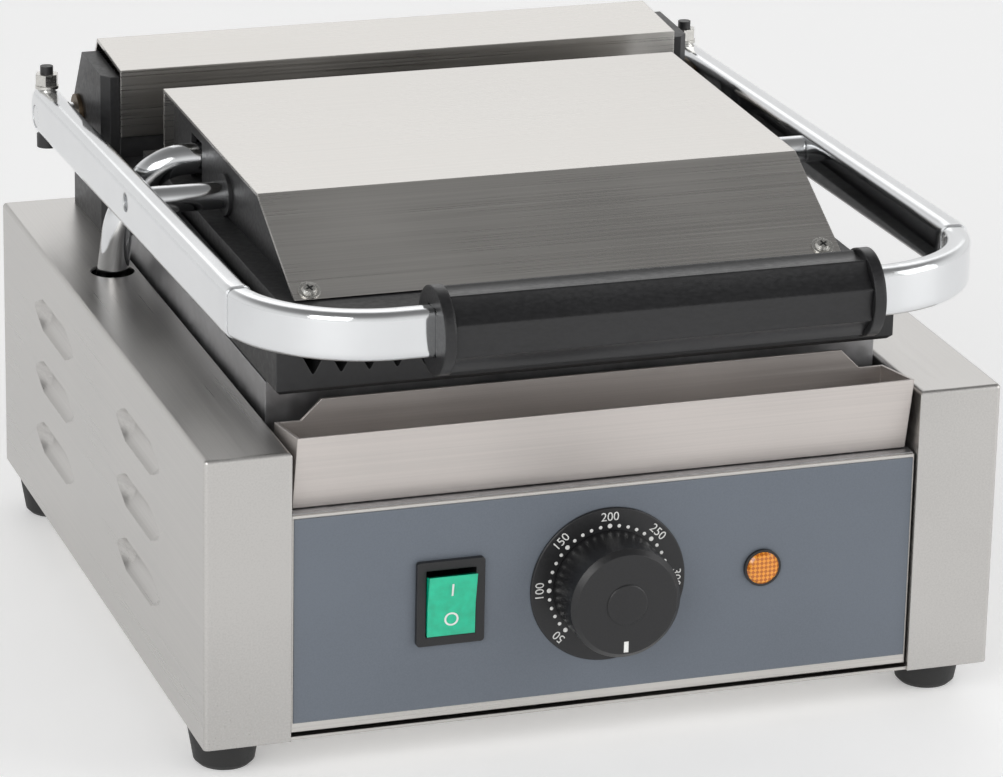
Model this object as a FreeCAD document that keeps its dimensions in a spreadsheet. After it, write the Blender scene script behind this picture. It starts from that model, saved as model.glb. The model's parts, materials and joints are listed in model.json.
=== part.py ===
"""A countertop contact grill for pressed sandwiches, built as the separate pieces it is made of.

Frame: millimetres, +X to the right, +Y to the back, +Z up, origin on the floor under the middle
of the closed grill.  Pieces are drawn from the plane of the side housings' front faces (y = 0)
and the underside of the base (z = 0); seat() shifts them into the frame.
"""
import FreeCAD, Part
import math
import os
import re

import Sketcher
from FreeCAD import Placement, Rotation, Vector

# ---------------------------------------------------------------- driving dimensions
SIZES = {
    # base
    "base_width": 290.0, "base_depth": 298.0, "base_height": 105.5, "sheet": 1.2,
    "pod_width": 30.7, "pod_bend": 1.6, "seam_gap": 0.6, "deck_gap": 2.0,
    "foot_height": 14.5, "foot_top": 26.0, "foot_tread": 21.5, "foot_side_inset": 13.4,
    "foot_end_inset": 23.6, "foot_edge": 1.6, "foot_recess": 11.0, "foot_recess_depth": 6.0,
    "foot_bore": 5.0, "foot_screw_head": 3.0, "foot_screw_margin": 1.0,
    # louvres in the side walls
    "louvre_length": 60.0, "louvre_height": 12.6, "louvre_dish": 4.2, "louvre_pitch": 24.6,
    "louvre_top": 81.0, "louvre_front_y": 89.0, "louvre_back_y": 214.0,
    "slit_length": 30.0, "slit_height": 1.3, "slit_drop": 2.2,
    # front panel and controls
    "panel_bottom": 2.5, "panel_top": 81.9, "panel_inset": 2.0, "overlay_sheet": 0.4,
    "overlay_lip": 3.4, "overlay_top_lip": 1.2, "panel_clearance": 0.2, "control_height": 45.4,
    "rocker_across": 57.6, "rocker_width": 24.4, "rocker_height": 30.9, "rocker_rim": 2.2,
    "rocker_flange": 2.0, "rocker_depth": 20.0, "rocker_wall": 1.0, "rocker_corner": 1.2,
    "rocker_gap": 0.35, "rocker_end_gap": 0.8, "rocker_proud": 1.8, "rocker_angle": 6.0,
    "rocker_pin": 1.0, "rocker_taper": 2.0, "rocker_draft": 1.0, "rocker_back": 5.0,
    "rocker_pivot": 1.6, "rocker_pivot_fit": 0.2, "rocker_pivot_reach": 0.2,
    "dial_diameter": 56.6, "dial_thick": 1.0, "dial_edge": 0.3,
    "knob_diameter": 40.0, "knob_length": 19.2, "knob_gap": 0.4, "knob_edge": 1.8,
    "stem_diameter": 6.0, "stem_hole": 10.0, "stem_in_knob": 12.0, "stem_in_case": 7.0,
    "stem_fit": 0.05, "thermostat_diameter": 36.0, "thermostat_depth": 18.0,
    "bulb_diameter": 6.0, "bulb_length": 90.0, "bulb_across": 50.0, "bulb_y": 85.0,
    "lamp_across": 57.4, "lamp_diameter": 13.6, "lamp_rim": 0.9, "lamp_rim_proud": 1.2,
    "lamp_proud": 2.4, "lamp_lens_seat": 0.3, "lamp_lens_depth": 4.0, "lamp_wall": 0.9,
    "lamp_body_depth": 22.0,
    "terminal_width": 48.0, "terminal_depth": 18.0, "terminal_height": 16.0, "terminal_back": 60.0,
    # drip tray
    "tray_half": 112.1, "tray_sheet": 1.0, "tray_front_y": 1.5, "tray_lean": 5.8,
    "tray_bottom": 82.7, "tray_front_top": 109.8, "tray_side_drop": 4.1, "tray_back_y": 30.0,
    "tray_back_top": 113.0, "tray_chamfer": 8.4, "tray_back_half": 104.0,
    "shelf_gap": 0.5, "shelf_depth": 38.0, "tray_stop": 6.0, "tray_stop_gap": 1.5,
    # cooking plates
    "lower_plate_width": 226.0, "lower_plate_depth": 218.0, "lower_plate_y": 24.5,
    "lower_plate_bottom": 117.0, "lower_rim_top": 137.0, "rim_width": 5.7, "rib_top": 131.5,
    "rib_depth": 7.5, "rib_pitch": 10.0, "rib_tip": 1.0, "rib_root": 0.8, "plate_gap": 0.7,
    "plate_chamfer": 1.6, "cut_margin": 1.0,
    "upper_plate_width": 212.0, "upper_plate_depth": 204.0, "upper_plate_y": 26.5,
    "upper_plate_top": 143.0, "upper_rib_depth": 5.5, "casting_round": 1.5,
    "carrier_half": 112.5, "carrier_y": 40.0, "carrier_depth": 198.0, "carrier_bottom": 88.0,
    "heater_diameter": 8.0, "heater_span": 130.0, "heater_run": 80.0, "heater_y": 68.0,
    "clamp_sheet": 1.5, "wool_thick": 8.0, "wool_gap": 1.0,
    "rail_inset": 18.0, "rail_width": 15.0, "rail_height": 14.0, "rail_sheet": 1.5,
    # upper cover
    "cover_half": 100.8, "slope_foot_y": 44.5, "slope_foot_z": 143.6, "slope_head_y": 91.8,
    "cover_front_z": 167.7, "cover_back_z": 169.7, "cover_back_y": 220.0, "cover_skirt_z": 147.0,
    "cheek_half": 97.0, "cheek_thick": 2.0, "cheek_tab": 15.0,
    "screw_across": 94.7, "screw_up": 4.2, "screw_head": 6.0, "screw_head_thick": 1.2,
    "screw_dome": 0.8, "screw_thread": 3.0, "screw_length": 6.0, "screw_clearance": 0.3,
    "screw_washer": 8.0, "screw_washer_thick": 0.5,
    # rear hinge
    "hinge_y": 283.5, "hinge_z": 143.5, "shaft_diameter": 9.0, "shaft_fit": 0.05,
    "shaft_edge": 0.5, "shaft_short": 0.2,
    "bracket_thick": 6.6, "bracket_front_y": 246.6, "bracket_top_y": 278.5, "bracket_top_z": 169.2,
    "bracket_back_y": 292.0, "bracket_back_z": 148.0, "bracket_fall": 1.5, "bracket_bevel": 3.0,
    "bush_flange": 15.0, "bush_flange_thick": 1.6, "bush_wall": 2.0,
    "housing_half": 110.9, "housing_front_y": 244.5, "housing_front_z": 144.5,
    "housing_top_z": 170.6, "housing_ridge_y": 280.9, "housing_ridge_z": 173.4,
    "housing_back_y": 295.0, "housing_back_z": 150.0, "housing_foot_z": 107.0,
    "hinge_box_top": 166.0, "hinge_box_foot": 14.0,
    "spring_wire": 2.4, "spring_mean": 15.4, "spring_turns": 7.0, "spring_pitch": 4.2,
    "spring_across": 52.0,
    # handle
    "arm_across": 130.0, "arm_width": 9.4, "arm_height": 18.0, "arm_rear_z": 145.4,
    "arm_tail": 9.0, "arm_round": 3.2, "arm_end_round": 8.0,
    "elbow_radius": 45.0, "elbow_width": 8.8, "elbow_height": 17.0, "elbow_round": 2.8,
    "seam_turn": 9.0,
    "grip_ahead": 25.0, "grip_z": 153.6, "grip_length": 156.0, "grip_offset": 4.0,
    "grip_diameter": 29.0, "grip_insert": 12.0, "flute_radius": 18.0, "flute_count": 8.0,
    "flute_start": 2.5, "collar_diameter": 30.4, "collar_width": 4.0,
    "clamp_diameter": 5.0, "clamp_fit": 0.1, "clamp_head": 8.5, "clamp_head_height": 5.0,
    "clamp_nut": 8.0, "clamp_nut_height": 4.5, "clamp_washer": 9.0, "clamp_washer_thick": 1.2,
    "clamp_tail": 3.0,
    # mid pivots of the upper plate
    "pivot_y": 145.0, "pivot_z": 151.0, "pivot_diameter": 10.0, "pivot_fit": 0.05,
    "pivot_bush": 14.0, "pivot_flange": 15.4, "pivot_flange_thick": 1.5, "pivot_reach": 3.0,
    "pivot_recess": 7.0, "pivot_recess_depth": 3.0,
    # conduit to the upper heater
    "conduit_diameter": 11.6, "conduit_wall": 1.2, "conduit_x": 124.6, "conduit_y": 204.4,
    "conduit_hole": 16.4, "conduit_above_turn": 2.0, "conduit_rise": 24.0,
    "conduit_easy_bend": 25.0, "conduit_inside_turn": 65.0, "conduit_bend": 20.0,
    "conduit_shoulder_x": 111.6, "conduit_shoulder_y": 190.0, "conduit_shoulder_z": 150.8,
    "conduit_end_x": 93.0, "conduit_end_y": 187.0, "conduit_end_z": 152.6,
    "conduit_slot_gap": 1.7,
    # rear entry
    "gland_x": 70.0, "gland_z": 28.0, "gland_diameter": 22.0, "gland_length": 12.0,
    "gland_bore": 8.2, "gland_thread": 16.0, "gland_nut": 3.0, "gland_taper": 4.0,
}

# places worked out from the sizes above; each is written out in full where it is used
PLACES = {
    "front_y": "(grip_ahead + collar_diameter / 2 - base_depth - gland_length) / 2",
    "pod_inner": "base_width / 2 - pod_width",
    "panel_half": "pod_inner - seam_gap",
    "shelf_top": "tray_bottom - shelf_gap",
    "lower_half": "lower_plate_width / 2",
    "lower_back_y": "lower_plate_y + lower_plate_depth",
    "upper_half": "upper_plate_width / 2",
    "upper_bottom": "rib_top + plate_gap",
    "upper_back_y": "upper_plate_y + upper_plate_depth",
    "slope_run": "slope_head_y - slope_foot_y",
    "slope_rise": "cover_front_z - slope_foot_z",
    "slope_length": "sqrt(slope_run * slope_run + slope_rise * slope_rise)",
    "slope_across_sheet": "sheet * slope_length / slope_rise",
    "carrier_back_y": "carrier_y + carrier_depth",
    "arm_fall": "(grip_z - arm_rear_z) / (hinge_y + grip_ahead)",
    "fall_length": "sqrt(1 + arm_fall * arm_fall)",
    "shaft_half": "arm_across + arm_width / 2 - shaft_short",
    "hinge_box_y": "housing_front_y + sheet",
    "dish_radius": "(louvre_height * louvre_height / 4 + louvre_dish * louvre_dish) / (2 * louvre_dish)",
    "dish_axis": "base_width / 2 + dish_radius - louvre_dish",
    "deck_front_y": "lower_back_y + deck_gap",
    "overlay_y": "panel_inset - overlay_sheet",
    "rocker_box_half_width": "rocker_width / 2 - rocker_rim",
    "rocker_box_half_height": "rocker_height / 2 - rocker_rim",
    "rocker_well_half_width": "rocker_box_half_width - rocker_wall",
    "rocker_well_half_height": "rocker_box_half_height - rocker_wall",
    "knob_face_y": "overlay_y - dial_thick - knob_gap - knob_length",
    "stem_length": "stem_in_knob + knob_gap + dial_thick + overlay_sheet + sheet + stem_in_case",
    "lamp_lens_radius": "lamp_diameter / 2 - lamp_rim",
    "lamp_barrel_radius": "lamp_lens_radius - lamp_wall",
    "slope_inner_y": "slope_head_y + sheet * (slope_length - slope_run) / slope_rise",
    "pivot_inner": "cheek_half - cheek_thick - pivot_reach",
    "flute_chord": "grip_diameter * sin(180 / flute_count) / 2",
    "flute_axis": "grip_diameter * cos(180 / flute_count) / 2 + sqrt(flute_radius * flute_radius"
                  " - flute_chord * flute_chord)",
}
FUNCTIONS = ("sqrt", "sin", "cos", "tan", "atan")

doc = FreeCAD.newDocument("ContactGrill")
sheet = doc.addObject("Spreadsheet::Sheet", "Sizes")
nodes = []


def fill_sheet():
    """Write each driving dimension into the spreadsheet with its name."""
    for row, (name, size) in enumerate(SIZES.items(), start=1):
        sheet.set("A%d" % row, name)
        sheet.set("B%d" % row, str(size))
        sheet.setAlias("B%d" % row, name)
    doc.recompute()


def formula(text):
    """Spell a formula for the document: sizes point at the sheet, places are written out."""
    def word(match):
        name = match.group(0)
        if name in PLACES:
            return "(" + formula(PLACES[name]) + ")"
        if name in SIZES:
            return "Sizes." + name
        if name in FUNCTIONS:
            return name
        raise ValueError("no size or place is called " + name)
    return re.sub(r"[a-z][a-z_]*", word, text)


# ---------------------------------------------------------------- small drawing helpers
def origin_plane(body, role):
    """The body's own origin plane with this role."""
    return [item for item in body.Origin.OriginFeatures if item.Role == role][0]


def seat(thing, across="0", back="0", up="0", turn=None):
    """Put a piece in the frame: x from the middle, y from the housings' faces, z from the base."""
    if turn is not None:
        thing.Placement = Placement(Vector(), turn)
    thing.setExpression("Placement.Base.x", formula(across))
    thing.setExpression("Placement.Base.y", formula("front_y + (%s)" % back))
    thing.setExpression("Placement.Base.z", formula("foot_height + (%s)" % up))


def new_body(label, across="0", back="0", up="0", turn=None):
    """Start one piece."""
    body = doc.addObject("PartDesign::Body", label)
    body.Label = label
    seat(body, across, back, up, turn)
    return body


def new_sketch(body, role, offset="0"):
    """An empty sketch on one of the body's planes, moved along the plane's normal."""
    sketch = body.newObject("Sketcher::SketchObject", body.Label + "_sketch")
    sketch.AttachmentSupport = (origin_plane(body, role), [""])
    sketch.MapMode = "FlatFace"
    sketch.setExpression("AttachmentOffset.Base.z", formula(offset))
    return sketch


def pin_point(sketch, edge, end, across, up, guess):
    """Fix one point of a sketch at a formula's place."""
    row = sketch.addConstraint(Sketcher.Constraint("DistanceX", -1, 1, edge, end, guess.x))
    sketch.setExpression("Constraints[%d]" % row, formula(across))
    row = sketch.addConstraint(Sketcher.Constraint("DistanceY", -1, 1, edge, end, guess.y))
    sketch.setExpression("Constraints[%d]" % row, formula(up))


def draw_polygon(sketch, corners):
    """A closed outline through corners given as pairs of formulas."""
    count = len(corners)
    ring = [2 * math.pi * (index + 0.3) / count for index in range(count)]
    start = [Vector(10 * math.cos(turn), 10 * math.sin(turn), 0) for turn in ring]
    first = sketch.GeometryCount
    for index in range(count):
        sketch.addGeometry(Part.LineSegment(start[index], start[(index + 1) % count]), False)
    for index in range(count):
        following = first + (index + 1) % count
        sketch.addConstraint(Sketcher.Constraint("Coincident", first + index, 2, following, 1))
    for index, (across, up) in enumerate(corners):
        pin_point(sketch, first + index, 1, across, up, start[index])


def draw_circle(sketch, across, up, diameter):
    """A circle with its middle and its diameter given as formulas."""
    edge = sketch.addGeometry(Part.Circle(Vector(5, 5, 0), Vector(0, 0, 1), 4), False)
    pin_point(sketch, edge, 3, across, up, Vector(5, 5, 0))
    row = sketch.addConstraint(Sketcher.Constraint("Diameter", edge, 8))
    sketch.setExpression("Constraints[%d]" % row, formula(diameter))


def extrude(body, kind, role, draw, start, end):
    """Pad or pocket a drawn outline between two places along the plane's world axis."""
    facing_back = role == "XZ_Plane"
    offset = "-(%s)" % start if facing_back else start
    sketch = new_sketch(body, role, offset)
    draw(sketch)
    feature = body.newObject("PartDesign::" + kind, body.Label + "_" + kind.lower())
    feature.Profile = sketch
    feature.Type = "Length"
    feature.Reversed = facing_back if kind == "Pad" else not facing_back
    feature.setExpression("Length", formula("(%s) - (%s)" % (end, start)))
    return feature


def prism(body, role, corners, start, end):
    """Add a straight prism."""
    return extrude(body, "Pad", role, lambda sketch: draw_polygon(sketch, corners), start, end)


def cut_prism(body, role, corners, start, end):
    """Cut a straight prism away."""
    return extrude(body, "Pocket", role, lambda sketch: draw_polygon(sketch, corners), start, end)


def rod(body, role, across, up, diameter, start, end):
    """Add a round bar."""
    return extrude(body, "Pad", role, lambda sketch: draw_circle(sketch, across, up, diameter), start, end)


def bore(body, role, across, up, diameter, start, end):
    """Cut a round hole."""
    def outline(sketch):
        draw_circle(sketch, across, up, diameter)
    return extrude(body, "Pocket", role, outline, start, end)


def rectangle(left, right, bottom, top):
    """Corners of a rectangle."""
    return [(left, bottom), (right, bottom), (right, top), (left, top)]


def turned(body, corners, kind="Revolution", angle=360):
    """Spin a profile of (radius, height) about the body's own Z axis."""
    sketch = new_sketch(body, "XZ_Plane")
    draw_polygon(sketch, corners)
    feature = body.newObject("PartDesign::" + kind, body.Label + "_turned")
    feature.Profile = sketch
    feature.ReferenceAxis = (sketch, ["V_Axis"])
    feature.Angle = angle
    return feature


def edges_at(shape, along, **extremes):
    """Names of the straight edges along an axis that lie on the given sides of the shape's box."""
    box = shape.BoundBox
    sides = {"x": (box.XMin, box.XMax), "y": (box.YMin, box.YMax), "z": (box.ZMin, box.ZMax)}
    axis = {"x": Vector(1, 0, 0), "y": Vector(0, 1, 0), "z": Vector(0, 0, 1)}[along]
    names = []
    for index, edge in enumerate(shape.Edges, start=1):
        run = edge.Vertexes[-1].Point - edge.Vertexes[0].Point
        if run.Length < 0.01 or abs(run.normalize().dot(axis)) < 0.999:
            continue
        middle = (edge.Vertexes[-1].Point + edge.Vertexes[0].Point) * 0.5
        place = {"x": middle.x, "y": middle.y, "z": middle.z}
        if all(abs(place[name] - sides[name][side == "max"]) < 0.01 for name, side in extremes.items()):
            names.append("Edge%d" % index)
    return names


def long_edges(shape, length):
    """Names of the edges that are longer than a length."""
    return ["Edge%d" % index for index, edge in enumerate(shape.Edges, start=1) if edge.Length > length]


def round_edges(body, names, radius, kind="Fillet"):
    """Fillet or chamfer the named edges of the body's last feature."""
    base = body.Tip
    feature = body.newObject("PartDesign::" + kind, body.Label + "_" + kind.lower())
    feature.Base = (base, names)
    feature.setExpression("Radius" if kind == "Fillet" else "Size", formula(radius))
    return feature


def built(body):
    """Recompute and hand back the body's own shape, before its placement."""
    doc.recompute()
    return body.Tip.Shape


def node(thing):
    """Mark a finished piece as one of the grill's nodes."""
    nodes.append(thing)
    return thing


def group(label, pieces):
    """Identical fasteners in one node."""
    compound = doc.addObject("Part::Compound", label)
    compound.Label = label
    compound.Links = pieces
    return node(compound)


def drilled(label, body, holes):
    """A finished body with round holes; each hole is (diameter, x, y, z, turn, length)."""
    result = body
    for diameter, across, back, up, turn, length in holes:
        drill = doc.addObject("Part::Cylinder", label + "_drill")
        drill.setExpression("Radius", formula("(%s) / 2" % diameter))
        drill.setExpression("Height", formula(length))
        seat(drill, across, back, up, turn)
        cut = doc.addObject("Part::Cut", label + "_drilled")
        cut.Base = result
        cut.Tool = drill
        result = cut
    body.Label = label + "_blank"
    result.Label = label
    return result


GROOVES_EACH_SIDE = 10
SIDES = (("left", -1), ("right", 1))
ALONG_X = Rotation(Vector(0, 1, 0), 90)
ALONG_Y = Rotation(Vector(1, 0, 0), -90)


def between(side, inner, outer):
    """Start and end along X of a piece that lies between two distances from the middle."""
    if side > 0:
        return inner, outer
    return "-(%s)" % outer, "-(%s)" % inner


# ---------------------------------------------------------------- base
def pod(name, side):
    """One folded side housing: outer, top and inner walls, a front and a back, dished louvres."""
    label = "side_housing_" + name
    body = new_body(label)
    outer = "%d * base_width / 2" % side
    inner = "%d * pod_inner" % side
    outer_face = "%d * (base_width / 2 - sheet)" % side
    inner_face = "%d * (pod_inner + sheet)" % side
    walls = [(outer, "0"), (outer, "base_height"), (inner, "base_height"), (inner, "sheet"),
             (inner_face, "sheet"), (inner_face, "base_height - sheet"),
             (outer_face, "base_height - sheet"), (outer_face, "0")]
    prism(body, "XZ_Plane", walls, "0", "base_depth")
    cap = [(outer, "0"), (outer, "base_height"), (inner, "base_height"), (inner, "0")]
    prism(body, "XZ_Plane", cap, "0", "sheet")
    prism(body, "XZ_Plane", cap, "base_depth - sheet", "base_depth")
    shape = built(body)
    far = "max" if side > 0 else "min"
    near = "min" if side > 0 else "max"
    bends = edges_at(shape, "y", x=far, z="max") + edges_at(shape, "z", x=far, y="min")
    bends += edges_at(shape, "x", y="min", z="max") + edges_at(shape, "z", x=far, y="max")
    bends += edges_at(shape, "y", x=near, z="max") + edges_at(shape, "x", y="max", z="max")
    round_edges(body, bends, "pod_bend")
    shape = built(body)
    dish_louvres(body, side)
    if side < 0:
        bore(body, "XY_Plane", "-conduit_x", "conduit_y", "conduit_hole",
             "base_height - 2 * sheet", "base_height + sheet")
    return node(body)


def dish_louvres(body, side):
    """Six rounded dishes pressed into the outer wall, each with a slit along its upper edge."""
    columns = ("louvre_front_y", "louvre_back_y")
    rows = ["louvre_top - %d * louvre_pitch" % row for row in range(3)]
    for column in columns:
        for height in rows:
            dish(body, side, column, height, "sheet", "Revolution")
    trim = between(side, "base_width / 2", "base_width / 2 + 3 * dish_radius")
    cut_prism(body, "YZ_Plane", rectangle("0", "base_depth", "0", "base_height"), *trim)
    for column in columns:
        for height in rows:
            dish(body, side, column, height, "0", "Groove")

    def slits(sketch):
        for height in rows:
            low = "%s + louvre_height / 2 - slit_drop" % height
            draw_polygon(sketch, rectangle("%d * (base_width / 2 - louvre_dish - 2 * sheet)" % side,
                                           "%d * (base_width / 2 - sheet * 1.5)" % side,
                                           low, "%s + slit_height" % low))
    for column in columns:
        extrude(body, "Pocket", "XZ_Plane", slits, "%s - slit_length / 2" % column,
                "%s + slit_length / 2" % column)


def dish(body, side, column, height, wall, kind):
    """One pressed dish: a bar with tapered ends, spun about a line along Y outside the wall."""
    sketch = new_sketch(body, "XY_Plane", height)
    sketch.setExpression("AttachmentOffset.Base.x", formula("%d * dish_axis" % side))
    sketch.setExpression("AttachmentOffset.Base.y", formula(column))
    deep = "%d * (dish_radius + %s)" % (-side, wall)
    shallow = "%d * (dish_radius - louvre_dish + %s)" % (-side, wall)
    tip = "(louvre_length / 2)"
    shoulder = "(louvre_length / 2 - louvre_height)"
    draw_polygon(sketch, [("0", "-%s" % tip), (shallow, "-%s" % tip), (deep, "-%s" % shoulder),
                          (deep, shoulder), (shallow, tip), ("0", tip)])
    feature = body.newObject("PartDesign::" + kind, body.Label + "_dish")
    feature.Profile = sketch
    feature.ReferenceAxis = (sketch, ["V_Axis"])
    feature.Angle = 360


def base_pan():
    """The floor sheet between the outer walls."""
    body = new_body("base_pan")
    edge = "base_width / 2 - sheet"
    prism(body, "XY_Plane", rectangle("-(%s)" % edge, edge, "sheet", "base_depth - sheet"), "0", "sheet")
    return node(body)


def rear_panel():
    """The back wall and the deck behind the plates, folded from one sheet."""
    body = new_body("rear_panel")
    profile = [("base_depth - sheet", "sheet"), ("base_depth", "sheet"), ("base_depth", "base_height"),
               ("deck_front_y", "base_height"), ("deck_front_y", "base_height - sheet"),
               ("base_depth - sheet", "base_height - sheet")]
    prism(body, "YZ_Plane", profile, "-panel_half", "panel_half")
    bore(body, "XZ_Plane", "gland_x", "gland_z", "gland_thread", "base_depth - 2 * sheet",
         "base_depth + sheet")
    return node(body)


def control_openings(body, start, end):
    """The rocker's window and the round holes for the stem and the lamp."""
    wide = "(rocker_box_half_width + panel_clearance)"
    tall = "(rocker_box_half_height + panel_clearance)"
    window = rectangle("-rocker_across - %s" % wide, "-rocker_across + %s" % wide,
                       "control_height - %s" % tall, "control_height + %s" % tall)
    cut_prism(body, "XZ_Plane", window, start, end)
    bore(body, "XZ_Plane", "0", "control_height", "stem_hole", start, end)
    bore(body, "XZ_Plane", "lamp_across", "control_height",
         "2 * (lamp_barrel_radius + panel_clearance)", start, end)


def front_panel():
    """The steel front wall between the housings, with the openings for the controls."""
    body = new_body("front_panel")
    face = rectangle("-panel_half", "panel_half", "panel_bottom", "panel_top")
    prism(body, "XZ_Plane", face, "panel_inset", "panel_inset + sheet")
    control_openings(body, "panel_inset - sheet", "panel_inset + 2 * sheet")
    return node(body)


def panel_overlay():
    """The thin coated sheet on the front panel; bare steel shows along its top and bottom."""
    body = new_body("panel_overlay")
    face = rectangle("-panel_half + seam_gap", "panel_half - seam_gap", "panel_bottom + overlay_lip",
                     "panel_top - overlay_top_lip")
    prism(body, "XZ_Plane", face, "overlay_y", "panel_inset")
    control_openings(body, "panel_inset - sheet", "panel_inset + sheet")
    return node(body)


def foot_places():
    """Where the four feet stand, as (across, back) formulas."""
    across = "(base_width / 2 - foot_side_inset)"
    return [("%d * %s" % (side, across), back) for side in (-1, 1)
            for back in ("foot_end_inset", "base_depth - foot_end_inset")]


def feet():
    """Four tapered rubber feet, each with a recess for its screw."""
    pieces = []
    for index, (across, back) in enumerate(foot_places()):
        body = new_body("foot_%d" % index, across, back, "-foot_height")
        turned(body, [("foot_bore / 2", "foot_recess_depth"), ("foot_recess / 2", "foot_recess_depth"),
                      ("foot_recess / 2", "0"), ("foot_tread / 2 - foot_edge", "0"),
                      ("foot_tread / 2", "foot_edge"), ("foot_top / 2", "foot_height"),
                      ("foot_bore / 2", "foot_height")])
        pieces.append(body)
    return group("feet", pieces)


def foot_screws():
    """Four pan-head screws that hold the feet."""
    screws = []
    for index, (across, back) in enumerate(foot_places()):
        body = new_body("foot_screw_%d" % index, across, back, "-foot_height")
        turned(body, [("0", "foot_recess_depth - foot_screw_head"),
                      ("foot_recess / 2 - foot_screw_margin", "foot_recess_depth - foot_screw_head"),
                      ("foot_recess / 2 - foot_screw_margin", "foot_recess_depth"),
                      ("foot_bore / 2", "foot_recess_depth"),
                      ("foot_bore / 2", "foot_height"), ("0", "foot_height")])
        screws.append(body)
    return group("foot_screws", screws)


# ---------------------------------------------------------------- controls
def rocker_housing():
    """The switch's frame: a rim in front of the panel and a box behind it."""
    body = new_body("rocker_housing", "-rocker_across", "overlay_y", "control_height")
    rim = rectangle("-rocker_width / 2", "rocker_width / 2", "-rocker_height / 2", "rocker_height / 2")
    prism(body, "XZ_Plane", rim, "-rocker_flange", "0")
    box = rectangle("-rocker_box_half_width", "rocker_box_half_width", "-rocker_box_half_height",
                    "rocker_box_half_height")
    prism(body, "XZ_Plane", box, "0", "rocker_depth")
    shape = built(body)
    corners = []
    for across in ("min", "max"):
        for up in ("min", "max"):
            corners += edges_at(shape, "y", x=across, z=up)
    round_edges(body, corners, "rocker_corner")
    built(body)
    hollow = rectangle("-rocker_well_half_width", "rocker_well_half_width", "-rocker_well_half_height",
                       "rocker_well_half_height")
    cut_prism(body, "XZ_Plane", hollow, "-rocker_flange - cut_margin", "rocker_depth - sheet")
    bore(body, "YZ_Plane", "rocker_pin", "0", "rocker_pivot + rocker_pivot_fit",
         "-rocker_box_half_width - cut_margin", "rocker_box_half_width + cut_margin")
    return node(body)


def power_rocker():
    """The green rocking cap: two faces that meet in a shallow valley, and a round pin at each side."""
    turn = Rotation(Vector(1, 0, 0), SIZES["rocker_angle"])
    body = new_body("power_rocker", "-rocker_across", "overlay_y + rocker_pin", "control_height", turn)
    wide = "(rocker_well_half_width - rocker_gap)"
    tall = "(rocker_well_half_height - rocker_end_gap)"
    end = "-(rocker_pin + rocker_flange + rocker_proud)"
    valley = "-(rocker_pin + rocker_flange + rocker_proud / 2)"
    profile = [(end, tall), (valley, "0"), (end, "-%s" % tall),
               ("-rocker_taper", "-%s + rocker_draft" % tall),
               ("rocker_back", "-rocker_back"), ("rocker_back", "rocker_back"),
               ("-rocker_taper", "%s - rocker_draft" % tall)]
    prism(body, "YZ_Plane", profile, "-%s" % wide, wide)
    rod(body, "YZ_Plane", "0", "0", "rocker_pivot", "-rocker_box_half_width + rocker_pivot_reach",
        "rocker_box_half_width - rocker_pivot_reach")
    return node(body)


def dial_ring():
    """The fixed round scale plate."""
    body = new_body("dial_ring", "0", "overlay_y - dial_thick", "control_height", ALONG_Y)
    turned(body, [("stem_hole / 2", "0"), ("dial_diameter / 2 - dial_edge", "0"),
                  ("dial_diameter / 2", "dial_edge"), ("dial_diameter / 2", "dial_thick"),
                  ("stem_hole / 2", "dial_thick")])
    return node(body)


def temperature_knob():
    """The round grip knob, bored for the stem."""
    body = new_body("temperature_knob", "0", "knob_face_y", "control_height", ALONG_Y)
    turned(body, [("0", "0"), ("knob_diameter / 2 - knob_edge", "0"), ("knob_diameter / 2", "knob_edge"),
                  ("knob_diameter / 2", "knob_length"), ("stem_diameter / 2", "knob_length"),
                  ("stem_diameter / 2", "knob_length - stem_in_knob"),
                  ("0", "knob_length - stem_in_knob")])
    return node(body)


def thermostat_stem():
    """The turning stem from the thermostat into the knob."""
    body = new_body("thermostat_stem", "0", "knob_face_y + knob_length - stem_in_knob",
                    "control_height", ALONG_Y)
    turned(body, [("0", "0"), ("stem_diameter / 2", "0"), ("stem_diameter / 2", "stem_length"),
                  ("0", "stem_length")])
    return node(body)


def thermostat_body():
    """The thermostat's round case behind the panel."""
    body = new_body("thermostat_body", "0", "panel_inset + sheet", "control_height", ALONG_Y)
    collar = "(stem_diameter / 2 + stem_fit)"
    floor = "(stem_in_case + stem_fit)"
    turned(body, [(collar, "0"), ("thermostat_diameter / 2", "0"),
                  ("thermostat_diameter / 2", "thermostat_depth"), ("0", "thermostat_depth"),
                  ("0", floor), (collar, floor)])
    return node(body)


def thermostat_bulb():
    """The sensing bulb held against the underside of the lower plate."""
    body = new_body("thermostat_bulb", "-bulb_across", "bulb_y", "lower_plate_bottom - bulb_diameter / 2")
    rod(body, "XZ_Plane", "0", "0", "bulb_diameter", "0", "bulb_length")
    return node(body)


def lamp_holder():
    """The lamp's dark rim and its barrel behind the panel."""
    body = new_body("lamp_holder", "lamp_across", "overlay_y", "control_height", ALONG_Y)
    bezel = "(lamp_diameter / 2)"
    inner = "(lamp_barrel_radius - lamp_wall)"
    turned(body, [("lamp_lens_radius", "-lamp_rim_proud"), (bezel, "-lamp_rim_proud"), (bezel, "0"),
                  ("lamp_barrel_radius", "0"), ("lamp_barrel_radius", "lamp_body_depth"),
                  ("0", "lamp_body_depth"), ("0", "lamp_body_depth - lamp_wall"),
                  (inner, "lamp_body_depth - lamp_wall"), (inner, "-lamp_lens_seat"),
                  ("lamp_lens_radius", "-lamp_lens_seat")])
    return node(body)


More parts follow.
